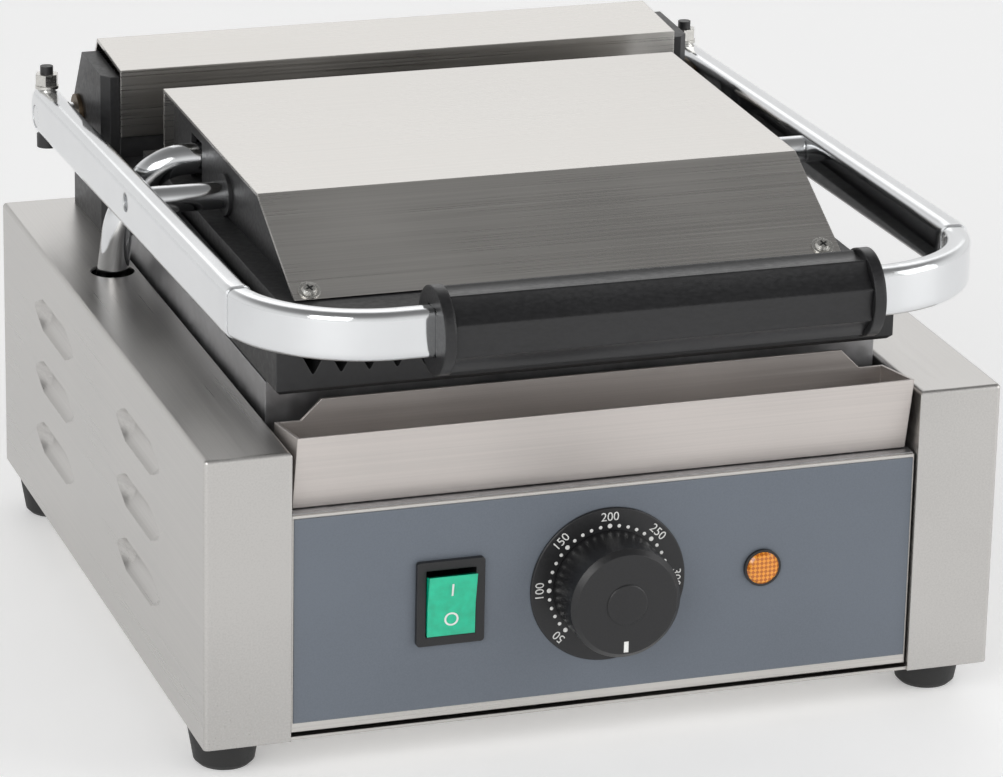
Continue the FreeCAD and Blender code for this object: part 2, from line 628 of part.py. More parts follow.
def lamp_lens():
    """The domed amber lens in the lamp's rim."""
    body = new_body("lamp_lens", "lamp_across", "overlay_y", "control_height", ALONG_Y)
    inner = "(lamp_barrel_radius - lamp_wall)"
    turned(body, [("0", "-lamp_proud"), ("lamp_lens_radius - lamp_wall", "-lamp_proud + lamp_lens_seat"),
                  ("lamp_lens_radius", "-lamp_rim_proud"), ("lamp_lens_radius", "-lamp_lens_seat"),
                  (inner, "-lamp_lens_seat"), (inner, "lamp_lens_depth"), ("0", "lamp_lens_depth")])
    return node(body)


def terminal_block():
    """The block where the supply meets the inner wiring."""
    body = new_body("terminal_block", "0", "base_depth - terminal_back", "sheet")
    prism(body, "XY_Plane", rectangle("-terminal_width / 2", "terminal_width / 2", "0", "terminal_depth"),
          "0", "terminal_height")
    cut_prism(body, "YZ_Plane", rectangle("terminal_depth / 4", "3 * terminal_depth / 4",
              "terminal_height / 2", "terminal_height + cut_margin"), "-terminal_width", "terminal_width")
    return node(body)


# ---------------------------------------------------------------- drip tray
def drip_tray():
    """The grease tray: a leaning front, sloping sides and a taller back wall with cut corners."""
    body = new_body("drip_tray")
    front_foot = "tray_front_y + tray_lean"
    side_top = "tray_front_top - tray_side_drop"
    inner_back = "tray_back_y - tray_sheet"
    outline = [("tray_front_y", "tray_front_top"), (front_foot, "tray_bottom"),
               ("tray_back_y", "tray_bottom"), ("tray_back_y", side_top)]
    prism(body, "YZ_Plane", outline, "-tray_half", "tray_half")
    inner = [("tray_front_y + tray_sheet", "tray_front_top + cut_margin"),
             ("%s + tray_sheet" % front_foot, "tray_bottom + tray_sheet"),
             (inner_back, "tray_bottom + tray_sheet"), (inner_back, "tray_front_top + cut_margin")]
    cut_prism(body, "YZ_Plane", inner, "-tray_half + tray_sheet", "tray_half - tray_sheet")
    wall = [("-tray_back_half", "tray_bottom"), ("-tray_back_half", "tray_back_top - tray_chamfer"),
            ("-tray_back_half + tray_chamfer", "tray_back_top"),
            ("tray_back_half - tray_chamfer", "tray_back_top"),
            ("tray_back_half", "tray_back_top - tray_chamfer"), ("tray_back_half", "tray_bottom")]
    prism(body, "XZ_Plane", wall, inner_back, "tray_back_y")
    return node(body)


def tray_shelf():
    """The ledge that the tray slides on, with a stop at its back, hooked behind the front panel."""
    body = new_body("tray_shelf")
    stop = "tray_back_y + tray_stop_gap"
    profile = [("panel_inset + sheet", "shelf_top - sheet"), ("shelf_depth", "shelf_top - sheet"),
               ("shelf_depth", "shelf_top"), ("%s + sheet" % stop, "shelf_top"),
               ("%s + sheet" % stop, "shelf_top + tray_stop"), (stop, "shelf_top + tray_stop"),
               (stop, "shelf_top"), ("panel_inset + sheet", "shelf_top")]
    prism(body, "YZ_Plane", profile, "-panel_half", "panel_half")
    return node(body)


# ---------------------------------------------------------------- lower plate
def cut_grooves(body, tips, into, depth, start, end):
    """V grooves side by side across a plate, cut from the ribs' tips into the plate."""
    half = "(rib_pitch / 2 - rib_tip / 2)"

    def grooves(sketch):
        for index in range(-GROOVES_EACH_SIDE, GROOVES_EACH_SIDE + 1):
            middle = "%d * rib_pitch" % index
            floor = "%s + %d * %s" % (tips, into, depth)
            mouth = "%s - %d" % (tips, into)
            draw_polygon(sketch, [("%s - %s" % (middle, half), mouth), ("%s - %s" % (middle, half), tips),
                                  ("%s - rib_root / 2" % middle, floor),
                                  ("%s + rib_root / 2" % middle, floor),
                                  ("%s + %s" % (middle, half), tips), ("%s + %s" % (middle, half), mouth)])
    extrude(body, "Pocket", "XZ_Plane", grooves, start, end)


def lower_plate():
    """The cast-iron plate: V grooves that drain to the front inside a raised rim."""
    body = new_body("lower_plate")
    prism(body, "XY_Plane", rectangle("-lower_half", "lower_half", "lower_plate_y", "lower_back_y"),
          "lower_plate_bottom", "lower_rim_top")
    well = rectangle("lower_plate_y - cut_margin", "lower_back_y - rim_width", "rib_top",
                     "lower_rim_top + cut_margin")
    cut_prism(body, "YZ_Plane", well, "-lower_half + rim_width", "lower_half - rim_width")
    shape = built(body)
    lower_edges = edges_at(shape, "x", y="min", z="min")
    for across in ("min", "max"):
        lower_edges += edges_at(shape, "y", x=across, z="min")
    round_edges(body, lower_edges, "plate_chamfer", "Chamfer")
    built(body)
    cut_grooves(body, "rib_top", -1, "rib_depth", "lower_plate_y - cut_margin",
                "lower_back_y - rim_width")
    return node(body)


def heater(name, height):
    """A bent tubular heating element lying flat: two long runs joined by a round bend."""
    body = new_body(name, "0", "heater_y", height)
    for side in (-1, 1):
        rod(body, "XZ_Plane", "%d * heater_span / 2" % side, "0", "heater_diameter", "0", "heater_run")
    sketch = new_sketch(body, "XZ_Plane", "-heater_run")
    draw_circle(sketch, "heater_span / 2", "0", "heater_diameter")
    bend = body.newObject("PartDesign::Revolution", name + "_bend")
    bend.Profile = sketch
    bend.ReferenceAxis = (sketch, ["V_Axis"])
    bend.Angle = 180
    return node(body)


def heater_clamp(name, height):
    """The steel plate that presses the element against its cast plate."""
    body = new_body(name, "0", "heater_y", height)
    half = "(heater_span / 2 + heater_diameter)"
    prism(body, "XY_Plane", rectangle("-%s" % half, half, "0", "heater_run"), "0", "clamp_sheet")
    half = "(heater_span / 2 - heater_diameter)"
    cut_prism(body, "XY_Plane", rectangle("-%s" % half, half, "heater_diameter * 2",
              "heater_run - heater_diameter * 2"), "-cut_margin",
              "clamp_sheet + cut_margin")
    return node(body)


def plate_carrier():
    """The open-topped steel box that carries the lower plate between the housings."""
    body = new_body("plate_carrier")
    prism(body, "XY_Plane", rectangle("-carrier_half", "carrier_half", "carrier_y", "carrier_back_y"),
          "carrier_bottom", "lower_plate_bottom")
    cut_prism(body, "XY_Plane", rectangle("-carrier_half + sheet", "carrier_half - sheet",
              "carrier_y + sheet", "carrier_back_y - sheet"), "carrier_bottom + sheet",
              "lower_plate_bottom + cut_margin")
    return node(body)


def mineral_wool():
    """The insulating sheet in the bottom of the carrier."""
    body = new_body("mineral_wool")
    half = "(carrier_half - sheet - wool_gap)"
    prism(body, "XY_Plane", rectangle("-%s" % half, half, "carrier_y + sheet + wool_gap",
          "carrier_back_y - sheet - wool_gap"), "carrier_bottom + sheet",
          "carrier_bottom + sheet + wool_thick")
    return node(body)


def cross_rails():
    """Two channels between the housings that the carrier stands on."""
    rails = []
    for index, back in enumerate(("carrier_y + rail_inset", "carrier_back_y - rail_inset - rail_width")):
        body = new_body("cross_rail_%d" % index, "0", back, "carrier_bottom - rail_height")
        profile = [("0", "0"), ("rail_sheet", "0"), ("rail_sheet", "rail_height - rail_sheet"),
                   ("rail_width - rail_sheet", "rail_height - rail_sheet"),
                   ("rail_width - rail_sheet", "0"), ("rail_width", "0"), ("rail_width", "rail_height"),
                   ("0", "rail_height")]
        prism(body, "YZ_Plane", profile, "-pod_inner", "pod_inner")
        rails.append(body)
    return group("cross_rails", rails)


# ---------------------------------------------------------------- upper plate and cover
def upper_plate():
    """The upper cast-iron plate with its ribs facing down."""
    body = new_body("upper_plate")
    prism(body, "XY_Plane", rectangle("-upper_half", "upper_half", "upper_plate_y", "upper_back_y"),
          "upper_bottom", "upper_plate_top")
    shape = built(body)
    names = edges_at(shape, "x", y="min", z="max")
    for across in ("min", "max"):
        names += edges_at(shape, "z", x=across, y="min")
    round_edges(body, names, "casting_round")
    built(body)
    cut_grooves(body, "upper_bottom", 1, "upper_rib_depth", "upper_plate_y - cut_margin",
                "upper_back_y + cut_margin")
    return node(drilled("upper_plate", body, [slope_hole(-1), slope_hole(1)]))


def slope_turn():
    """The rotation that points a piece's own Z axis out of the front slope."""
    rise = SIZES["cover_front_z"] - SIZES["slope_foot_z"]
    run = SIZES["slope_head_y"] - SIZES["slope_foot_y"]
    return Rotation(Vector(1, 0, 0), math.degrees(math.atan2(rise, run)))


def on_slope(depth):
    """Place of a point on a cover screw's axis, this far under the slope's outer face."""
    back = "slope_foot_y + (screw_up * slope_run + (%s) * slope_rise) / slope_length" % depth
    up = "slope_foot_z + (screw_up * slope_rise - (%s) * slope_run) / slope_length" % depth
    return back, up


def slope_hole(side):
    """The clearance hole of one cover screw."""
    back, up = on_slope("screw_length + screw_clearance")
    return ("screw_thread + screw_clearance", "%d * screw_across" % side, back, up, slope_turn(),
            "2 * screw_length")


def upper_cover():
    """The bent steel cover: a long front slope, a flat top and a short back skirt."""
    body = new_body("upper_cover")
    profile = [("slope_foot_y", "slope_foot_z"), ("slope_head_y", "cover_front_z"),
               ("cover_back_y", "cover_back_z"), ("cover_back_y", "cover_skirt_z"),
               ("cover_back_y - sheet", "cover_skirt_z"), ("cover_back_y - sheet", "cover_back_z - sheet"),
               ("slope_inner_y", "cover_front_z - sheet"),
               ("slope_foot_y + slope_across_sheet", "slope_foot_z")]
    prism(body, "YZ_Plane", profile, "-cover_half", "cover_half")
    return node(drilled("upper_cover", body, [slope_hole(-1), slope_hole(1)]))


def cheek(name, side):
    """The black end plate under the cover, with a folded tab behind the slope for its screw."""
    label = "cheek_" + name
    body = new_body(label)
    foot_y = "slope_foot_y + slope_across_sheet"
    profile = [(foot_y, "upper_plate_top"), (foot_y, "slope_foot_z"),
               ("slope_inner_y", "cover_front_z - sheet"),
               ("cover_back_y - sheet", "cover_back_z - sheet"), ("cover_back_y - sheet", "upper_plate_top")]
    prism(body, "YZ_Plane", profile, *between(side, "cheek_half - cheek_thick", "cheek_half"))
    tab_top = "slope_foot_z + cheek_tab * slope_rise / slope_run"
    tab = [(foot_y, "upper_plate_top"), (foot_y, "slope_foot_z"), ("%s + cheek_tab" % foot_y, tab_top),
           ("%s + cheek_tab + 2 * cheek_thick" % foot_y, tab_top),
           ("%s + 3 * cheek_thick" % foot_y, "upper_plate_top")]
    prism(body, "YZ_Plane", tab, *between(side, "cheek_half - cheek_tab", "cheek_half - cheek_thick"))
    ends = between(side, "cheek_half - 2 * cheek_thick", "cheek_half + cut_margin")
    bore(body, "YZ_Plane", "pivot_y", "pivot_z", "pivot_bush", *ends)
    if side < 0:
        half = "(conduit_diameter / 2 + conduit_slot_gap)"
        slot = rectangle("conduit_end_y - %s" % half, "conduit_end_y + %s" % half,
                         "upper_plate_top - cut_margin", "conduit_end_z + %s" % half)
        cut_prism(body, "YZ_Plane", slot, *ends)
    return node(drilled(label, body, [slope_hole(side)]))


def cover_screws():
    """Two cross-head screws through the foot of the slope."""
    screws = []
    for name, side in SIDES:
        back, up = on_slope("0")
        body = new_body("cover_screw_" + name, "%d * screw_across" % side, back, up, slope_turn())
        base = "screw_washer_thick"
        turned(body, [("0", "-screw_length"), ("screw_thread / 2", "-screw_length"),
                      ("screw_thread / 2", base), ("screw_head / 2", base),
                      ("screw_head / 2 - screw_dome", "%s + screw_head_thick" % base),
                      ("0", "%s + screw_head_thick" % base)])
        screws.append(body)
    return group("cover_screws", screws)


def cover_washers():
    """The plain washers under the cover's screws."""
    washers = []
    for name, side in SIDES:
        back, up = on_slope("0")
        body = new_body("cover_washer_" + name, "%d * screw_across" % side, back, up, slope_turn())
        turned(body, [("screw_thread / 2", "0"), ("screw_washer / 2", "0"),
                      ("screw_washer / 2", "screw_washer_thick"),
                      ("screw_thread / 2", "screw_washer_thick")])
        washers.append(body)
    return group("cover_washers", washers)


def facing_out(side):
    """The rotation that points a piece's own Z axis outward along X."""
    return Rotation(Vector(0, 1, 0), 90 * side)


def pivot_bush(name, side):
    """The flanged bush in the cheek that the pivot pin turns in."""
    body = new_body("pivot_bush_" + name, "%d * (cheek_half - cheek_thick)" % side, "pivot_y", "pivot_z",
                    facing_out(side))
    inner = "(pivot_diameter / 2 + pivot_fit)"
    face = "(cheek_thick + pivot_flange_thick)"
    turned(body, [(inner, "0"), ("pivot_bush / 2", "0"), ("pivot_bush / 2", "cheek_thick"),
                  ("pivot_flange / 2", "cheek_thick"), ("pivot_flange / 2", face), (inner, face)])
    return node(body)


def pivot_pin(name, side):
    """The chromed pin that carries the upper plate from the handle's arm."""
    body = new_body("pivot_pin_" + name, "%d * pivot_inner" % side, "pivot_y", "pivot_z", facing_out(side))
    long = "(arm_across - arm_width / 2 - pivot_inner)"
    turned(body, [("0", "0"), ("pivot_diameter / 2 - shaft_edge", "0"), ("pivot_diameter / 2", "shaft_edge"),
                  ("pivot_diameter / 2", long), ("0", long)])
    return node(body)


# ---------------------------------------------------------------- rear hinge
def hinge_bracket(name, side):
    """The black end plate that carries the hinge shaft's bush."""
    body = new_body("hinge_bracket_" + name)
    profile = [("bracket_front_y", "base_height"), ("bracket_back_y", "base_height"),
               ("bracket_back_y", "bracket_back_z"), ("bracket_top_y", "bracket_top_z"),
               ("bracket_front_y", "bracket_top_z - bracket_fall")]
    prism(body, "YZ_Plane", profile, *between(side, "housing_half", "housing_half + bracket_thick"))
    shape = built(body)
    round_edges(body, edges_at(shape, "z", x="max" if side > 0 else "min", y="min"), "bracket_bevel",
                "Chamfer")
    built(body)
    wide = between(side, "housing_half - cut_margin", "housing_half + bracket_thick + cut_margin")
    bore(body, "YZ_Plane", "hinge_y", "hinge_z", "shaft_diameter + 2 * (shaft_fit + bush_wall)", *wide)
    return node(body)


def shaft_bush(name, side):
    """The flanged bush in the bracket."""
    body = new_body("shaft_bush_" + name, "%d * housing_half" % side, "hinge_y", "hinge_z", facing_out(side))
    inner = "(shaft_diameter / 2 + shaft_fit)"
    outer = "(shaft_diameter / 2 + shaft_fit + bush_wall)"
    face = "(bracket_thick + bush_flange_thick)"
    turned(body, [(inner, "0"), (outer, "0"), (outer, "bracket_thick"), ("bush_flange / 2", "bracket_thick"),
                  ("bush_flange / 2", face), (inner, face)])
    return node(body)


def clamp_hole(side):
    """The upright hole of one clamp bolt through the arm and the shaft."""
    back = "hinge_y - arm_height * arm_fall / fall_length"
    up = "arm_rear_z - arm_height / fall_length"
    return ("clamp_diameter + clamp_fit", "%d * arm_across" % side, back, up, handle_turn(),
            "2 * arm_height")


def hinge_shaft():
    """The through shaft, cross-bored at each end for the clamp bolts."""
    body = new_body("hinge_shaft", "-shaft_half", "hinge_y", "hinge_z", ALONG_X)
    long = "(2 * shaft_half)"
    turned(body, [("0", "0"), ("shaft_diameter / 2 - shaft_edge", "0"), ("shaft_diameter / 2", "shaft_edge"),
                  ("shaft_diameter / 2", "%s - shaft_edge" % long),
                  ("shaft_diameter / 2 - shaft_edge", long), ("0", long)])
    return node(drilled("hinge_shaft", body, [clamp_hole(-1), clamp_hole(1)]))


def rear_housing():
    """The bent steel cover over the hinge shaft and its springs."""
    body = new_body("rear_housing")
    profile = [("housing_front_y", "housing_front_z"), ("housing_front_y", "housing_top_z"),
               ("housing_ridge_y", "housing_ridge_z"), ("housing_back_y", "housing_back_z"),
               ("housing_back_y", "housing_foot_z"), ("housing_back_y - sheet", "housing_foot_z"),
               ("housing_back_y - sheet", "housing_back_z - 0.3 * sheet"),
               ("housing_ridge_y - 0.6 * sheet", "housing_ridge_z - 1.06 * sheet"),
               ("housing_front_y + sheet", "housing_top_z - sheet"),
               ("housing_front_y + sheet", "housing_front_z")]
    prism(body, "YZ_Plane", profile, "-housing_half", "housing_half")
    return node(body)


def hinge_box():
    """The black inner channel that closes the hinge's front and stands on the deck."""
    body = new_body("hinge_box")
    profile = [("hinge_box_y", "base_height"), ("hinge_box_y + hinge_box_foot", "base_height"),
               ("hinge_box_y + hinge_box_foot", "base_height + sheet"),
               ("hinge_box_y + sheet", "base_height + sheet"), ("hinge_box_y + sheet", "hinge_box_top"),
               ("hinge_box_y", "hinge_box_top")]
    prism(body, "YZ_Plane", profile, "-housing_half", "housing_half")
    return node(body)


def counter_spring(name, side):
    """A wound wire spring round the shaft that takes part of the lid's weight."""
    mean = SIZES["spring_mean"] / 2
    length = SIZES["spring_turns"] * SIZES["spring_pitch"]
    helix = Part.makeHelix(SIZES["spring_pitch"], length, mean)
    ring = Part.Wire(Part.makeCircle(SIZES["spring_wire"] / 2, Vector(mean, 0, 0), Vector(0, 1, 0)))
    thing = doc.addObject("Part::Feature", "counter_spring_" + name)
    thing.Label = "counter_spring_" + name
    thing.Shape = Part.Wire(helix).makePipeShell([ring], True, True)
    start = "spring_across" if side > 0 else "-spring_across - spring_turns * spring_pitch"
    seat(thing, start, "hinge_y", "hinge_z", ALONG_X)
    return node(thing)


# ---------------------------------------------------------------- handle
def handle_turn():
    """The slight fall of the arms from the grip back to the shaft."""
    fall = SIZES["grip_z"] - SIZES["arm_rear_z"]
    run = SIZES["hinge_y"] + SIZES["grip_ahead"]
    return Rotation(Vector(1, 0, 0), -math.degrees(math.atan2(fall, run)))


def handle_body(label):
    """A body in the handle's frame: origin at the middle of the grip, Y running up the arms."""
    return new_body(label, "0", "-grip_ahead", "grip_z", handle_turn())


def swing(body, side, width, height, start, turn):
    """Carry a rectangular section round part of the front bend."""
    sketch = new_sketch(body, "XZ_Plane", "-elbow_radius")
    sketch.AttachmentOffset = Placement(Vector(), Rotation(Vector(0, 1, 0), -side * start))
    sketch.setExpression("AttachmentOffset.Base.x", formula("%d * (arm_across - elbow_radius)" % side))
    near = "%d * (elbow_radius - %s / 2)" % (side, width)
    far = "%d * (elbow_radius + %s / 2)" % (side, width)
    draw_polygon(sketch, rectangle(near, far, "-%s / 2" % height, "%s / 2" % height))
    feature = body.newObject("PartDesign::Revolution", body.Label + "_swing")
    feature.Profile = sketch
    feature.ReferenceAxis = (sketch, ["V_Axis"])
    feature.Angle = turn
    feature.Reversed = side > 0
    return feature


def arm(name, side):
    """One flat chromed arm, from the shaft to the start of the front bend."""
    label = "handle_arm_" + name
    body = handle_body(label)
    left, right = between(side, "arm_across - arm_width / 2", "arm_across + arm_width / 2")
    section = rectangle(left, right, "-arm_height / 2", "arm_height / 2")
    prism(body, "XZ_Plane", section, "elbow_radius", "hinge_y + grip_ahead + arm_tail")
    swing(body, side, "arm_width", "arm_height", 0, SIZES["seam_turn"])
    shape = built(body)
    names = edges_at(shape, "x", y="max", z="min") + edges_at(shape, "x", y="max", z="max")
    round_edges(body, names, "arm_end_round")
    shape = built(body)
    round_edges(body, long_edges(shape, SIZES["elbow_radius"] + SIZES["arm_height"]), "arm_round")
    shaft_hole = ("shaft_diameter", "%d * (arm_across - arm_width)" % side, "hinge_y", "hinge_z",
                  facing_out(side), "2 * arm_width")
    recess = ("pivot_recess", "%d * (arm_across + arm_width / 2 - pivot_recess_depth)" % side, "pivot_y",
              "pivot_z", facing_out(side), "2 * pivot_recess_depth")
    return node(drilled(label, body, [shaft_hole, recess, clamp_hole(side)]))


def elbow(name, side):
    """The curved front corner of the handle, a size smaller than the arm, and its run into the grip."""
    body = handle_body("handle_elbow_" + name)
    end = "grip_offset + grip_length / 2" if side > 0 else "grip_length / 2 - grip_offset"
    swing(body, side, "elbow_width", "elbow_height", SIZES["seam_turn"], 90 - SIZES["seam_turn"])
    section = rectangle("-elbow_width / 2", "elbow_width / 2", "-elbow_height / 2", "elbow_height / 2")
    prism(body, "YZ_Plane", section, *between(side, "%s - grip_insert" % end, "arm_across - elbow_radius"))
    shape = built(body)
    round_edges(body, long_edges(shape, SIZES["elbow_radius"]), "elbow_round")
    return node(body)


def handle_core():
    """The straight bar inside the grip that joins the two front corners."""
    body = handle_body("handle_core")
    section = rectangle("-elbow_width / 2", "elbow_width / 2", "-elbow_height / 2", "elbow_height / 2")
    prism(body, "YZ_Plane", section, "grip_offset - grip_length / 2 + grip_insert",
          "grip_offset + grip_length / 2 - grip_insert")
    return node(body)


def grip_bore(body):
    """The flat bore of the grip's pieces, which fits the bar."""
    section = rectangle("-elbow_width / 2", "elbow_width / 2", "-elbow_height / 2", "elbow_height / 2")
    cut_prism(body, "YZ_Plane", section, "grip_offset - grip_length", "grip_offset + grip_length")


def grip_sleeve():
    """The black moulded sleeve, with wide hollow flutes along it."""
    body = handle_body("grip_sleeve")
    start = "grip_offset - grip_length / 2 + collar_width"
    end = "grip_offset + grip_length / 2 - collar_width"
    rod(body, "YZ_Plane", "0", "0", "grip_diameter", start, end)
    built(body)
    count = int(SIZES["flute_count"])
    for index in range(count):
        turn = "(flute_start + %d * 360 / flute_count)" % index
        bore(body, "YZ_Plane", "flute_axis * cos(%s)" % turn, "flute_axis * sin(%s)" % turn,
             "2 * flute_radius", "%s - cut_margin" % start, "%s + cut_margin" % end)
    grip_bore(body)
    return node(body)


def grip_collar(name, side):
    """The round end of the grip."""
    body = handle_body("grip_collar_" + name)
    if side > 0:
        start, end = "grip_offset + grip_length / 2 - collar_width", "grip_offset + grip_length / 2"
    else:
        start, end = "grip_offset - grip_length / 2", "grip_offset - grip_length / 2 + collar_width"
    rod(body, "YZ_Plane", "0", "0", "collar_diameter", start, end)
    grip_bore(body)
    return node(body)


def clamp_body(label, side):
    """A fastener's body on one clamp bolt's axis, its origin in the middle of the arm."""
    return new_body(label, "%d * arm_across" % side, "hinge_y", "arm_rear_z", handle_turn())


def clamp_bolts():
    """Two socket-head bolts, pushed up through the arms' tails and the shaft."""
    bolts = []
    for name, side in SIDES:
        body = clamp_body("clamp_bolt_" + name, side)
        under = "(-arm_height / 2)"
        top = "(arm_height / 2 + clamp_washer_thick + clamp_nut_height + clamp_tail)"
        turned(body, [("0", "%s - clamp_head_height" % under),
                      ("clamp_head / 2", "%s - clamp_head_height" % under), ("clamp_head / 2", under),
                      ("clamp_diameter / 2", under), ("clamp_diameter / 2", top), ("0", top)])
        bolts.append(body)
    return group("clamp_bolts", bolts)


def clamp_washers():
    """The spring washers under the clamp bolts' nuts."""
    washers = []
    for name, side in SIDES:
        body = clamp_body("clamp_washer_" + name, side)
        top = "(arm_height / 2 + clamp_washer_thick)"
        turned(body, [("clamp_diameter / 2", "arm_height / 2"), ("clamp_washer / 2", "arm_height / 2"),
                      ("clamp_washer / 2", top), ("clamp_diameter / 2", top)])
        washers.append(body)
    return group("clamp_washers", washers)


def clamp_nuts():
    """The hexagon nuts of the clamp bolts."""
    nuts = []
    for name, side in SIDES:
        body = clamp_body("clamp_nut_" + name, side)
        bottom = "arm_height / 2 + clamp_washer_thick"
        reach = "(clamp_nut / 2 / cos(30))"
        corners = [("%s * cos(%d)" % (reach, turn), "%s * sin(%d)" % (reach, turn))
                   for turn in range(10, 370, 60)]
        prism(body, "XY_Plane", corners, bottom, "%s + clamp_nut_height" % bottom)
        bore(body, "XY_Plane", "0", "0", "clamp_diameter", "%s - cut_margin" % bottom,
             "%s + clamp_nut_height + cut_margin" % bottom)
        nuts.append(body)
    return group("clamp_nuts", nuts)


# ---------------------------------------------------------------- conduit and rear entry
def tangent_arc(before, corner, after, radius):
    """The arc of this radius that rounds a corner: its start, middle and end."""
    into = (corner - before).normalize()
    out = (after - corner).normalize()
    turn = into.getAngle(out)
    setback = radius * math.tan(turn / 2)
    start = corner - into * setback
    end = corner + out * setback
    inward = (out - into).normalize()
    middle = corner + inward * (radius / math.cos(turn / 2) - radius)
    return start, middle, end


def conduit_path():
    """The conduit's centre line: an arc about the hinge inside the housing, then up and inward."""
    axis = Vector(-SIZES["conduit_x"], SIZES["hinge_y"], SIZES["hinge_z"])
    hole = Vector(-SIZES["conduit_x"], SIZES["conduit_y"], SIZES["base_height"])
    spoke = hole - axis

    def on_arc(degrees):
        return axis + Rotation(Vector(1, 0, 0), degrees).multVec(spoke)
    deep = on_arc(SIZES["conduit_inside_turn"])
    half = on_arc(SIZES["conduit_inside_turn"] / 2)
    mouth = on_arc(-SIZES["conduit_above_turn"])
    along = Rotation(Vector(1, 0, 0), -90).multVec((mouth - axis).normalize())
    bend = mouth + along * SIZES["conduit_rise"]
    shoulder = Vector(-SIZES["conduit_shoulder_x"], SIZES["conduit_shoulder_y"], SIZES["conduit_shoulder_z"])
    end = Vector(-SIZES["conduit_end_x"], SIZES["conduit_end_y"], SIZES["conduit_end_z"])
    first = tangent_arc(mouth, bend, shoulder, SIZES["conduit_easy_bend"])
    second = tangent_arc(bend, shoulder, end, SIZES["conduit_bend"])
    edges = [Part.Arc(deep, half, mouth).toShape(), Part.LineSegment(mouth, first[0]).toShape(),
             Part.Arc(*first).toShape(), Part.LineSegment(first[2], second[0]).toShape(),
             Part.Arc(*second).toShape(), Part.LineSegment(second[2], end).toShape()]
    start_way = Rotation(Vector(1, 0, 0), -90).multVec((deep - axis).normalize())
    return Part.Wire(edges), deep, start_way


def conduit_tube():
    """The chromed tube that brings the upper heater's wires from the housing to the cheek."""
    path, start, way = conduit_path()
    outside = Part.Wire(Part.makeCircle(SIZES["conduit_diameter"] / 2, start, way))
    inside = Part.Wire(Part.makeCircle(SIZES["conduit_diameter"] / 2 - SIZES["conduit_wall"], start, way))
    tube = path.makePipeShell([outside], True, True).cut(path.makePipeShell([inside], True, True))
    thing = doc.addObject("Part::Feature", "conduit_tube")
    thing.Label = "conduit_tube"
    thing.Shape = tube
    seat(thing)
    return node(thing)


def cable_gland():
    """The screwed entry in the back wall for the supply cord."""
    body = new_body("cable_gland", "gland_x", "base_depth - sheet - gland_nut", "gland_z", ALONG_Y)
    wall_in = "gland_nut"
    wall_out = "(gland_nut + sheet)"
    tip = "(gland_nut + sheet + gland_length)"
    turned(body, [("gland_bore / 2", "0"), ("gland_diameter / 2", "0"), ("gland_diameter / 2", wall_in),
                  ("gland_thread / 2", wall_in), ("gland_thread / 2", wall_out),
                  ("gland_diameter / 2", wall_out), ("gland_diameter / 2", "%s - gland_taper" % tip),
                  ("gland_thread / 2", tip), ("gland_bore / 2", tip)])
    return node(body)


# ---------------------------------------------------------------- the whole grill
def build_all():
    """Draw every piece."""
    for name, side in SIDES:
        pod(name, side)
    for make in (base_pan, rear_panel, front_panel, panel_overlay, feet, foot_screws, rocker_housing,
                 power_rocker, dial_ring, temperature_knob, thermostat_stem, thermostat_body,
                 thermostat_bulb, lamp_holder, lamp_lens, terminal_block, drip_tray, tray_shelf,
                 lower_plate, plate_carrier, mineral_wool, cross_rails, upper_plate, upper_cover,
                 cover_screws, cover_washers, hinge_shaft, rear_housing, hinge_box, handle_core,
                 grip_sleeve, clamp_bolts, clamp_washers, clamp_nuts, conduit_tube, cable_gland):
        make()
    heater("lower_heater", "lower_plate_bottom - heater_diameter / 2")
    heater_clamp("lower_heater_clamp", "lower_plate_bottom - heater_diameter - clamp_sheet")
    heater("upper_heater", "upper_plate_top + heater_diameter / 2")
    heater_clamp("upper_heater_clamp", "upper_plate_top + heater_diameter")
    for name, side in SIDES:
        for make in (cheek, pivot_bush, pivot_pin, hinge_bracket, shaft_bush, counter_spring, arm, elbow,
                     grip_collar):
            make(name, side)


def check_all():
    """Stop if anything failed to build, before a file is written."""
    doc.recompute()
    for thing in doc.Objects:
        if "Invalid" in thing.State or "Error" in thing.State:
            raise RuntimeError(thing.Label + " did not build")
    for thing in nodes:
        if thing.Shape.isNull() or not thing.Shape.isValid() or not thing.Shape.Solids:
            raise RuntimeError(thing.Label + " has no sound shape")


def write_all():
    """One file per piece."""
    os.makedirs("parts", exist_ok=True)
    for thing in nodes:
        thing.Shape.exportStep("parts/" + thing.Label + ".step")
    print("wrote %d pieces" % len(nodes))


fill_sheet()
build_all()
check_all()
write_all()
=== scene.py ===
# %% [markdown]
# # A countertop contact grill
# The grill's sheet steel, castings, handle and controls come from the drawing at their real
# size, each as an object of its own.  Blender adds what a drawing can't hold: the finish of
# every metal and plastic, the printed dial, the marks on the switch, and the light.

# %% Load the grill
import json
import math

import bmesh
import bpy
from mathutils import Matrix, Vector


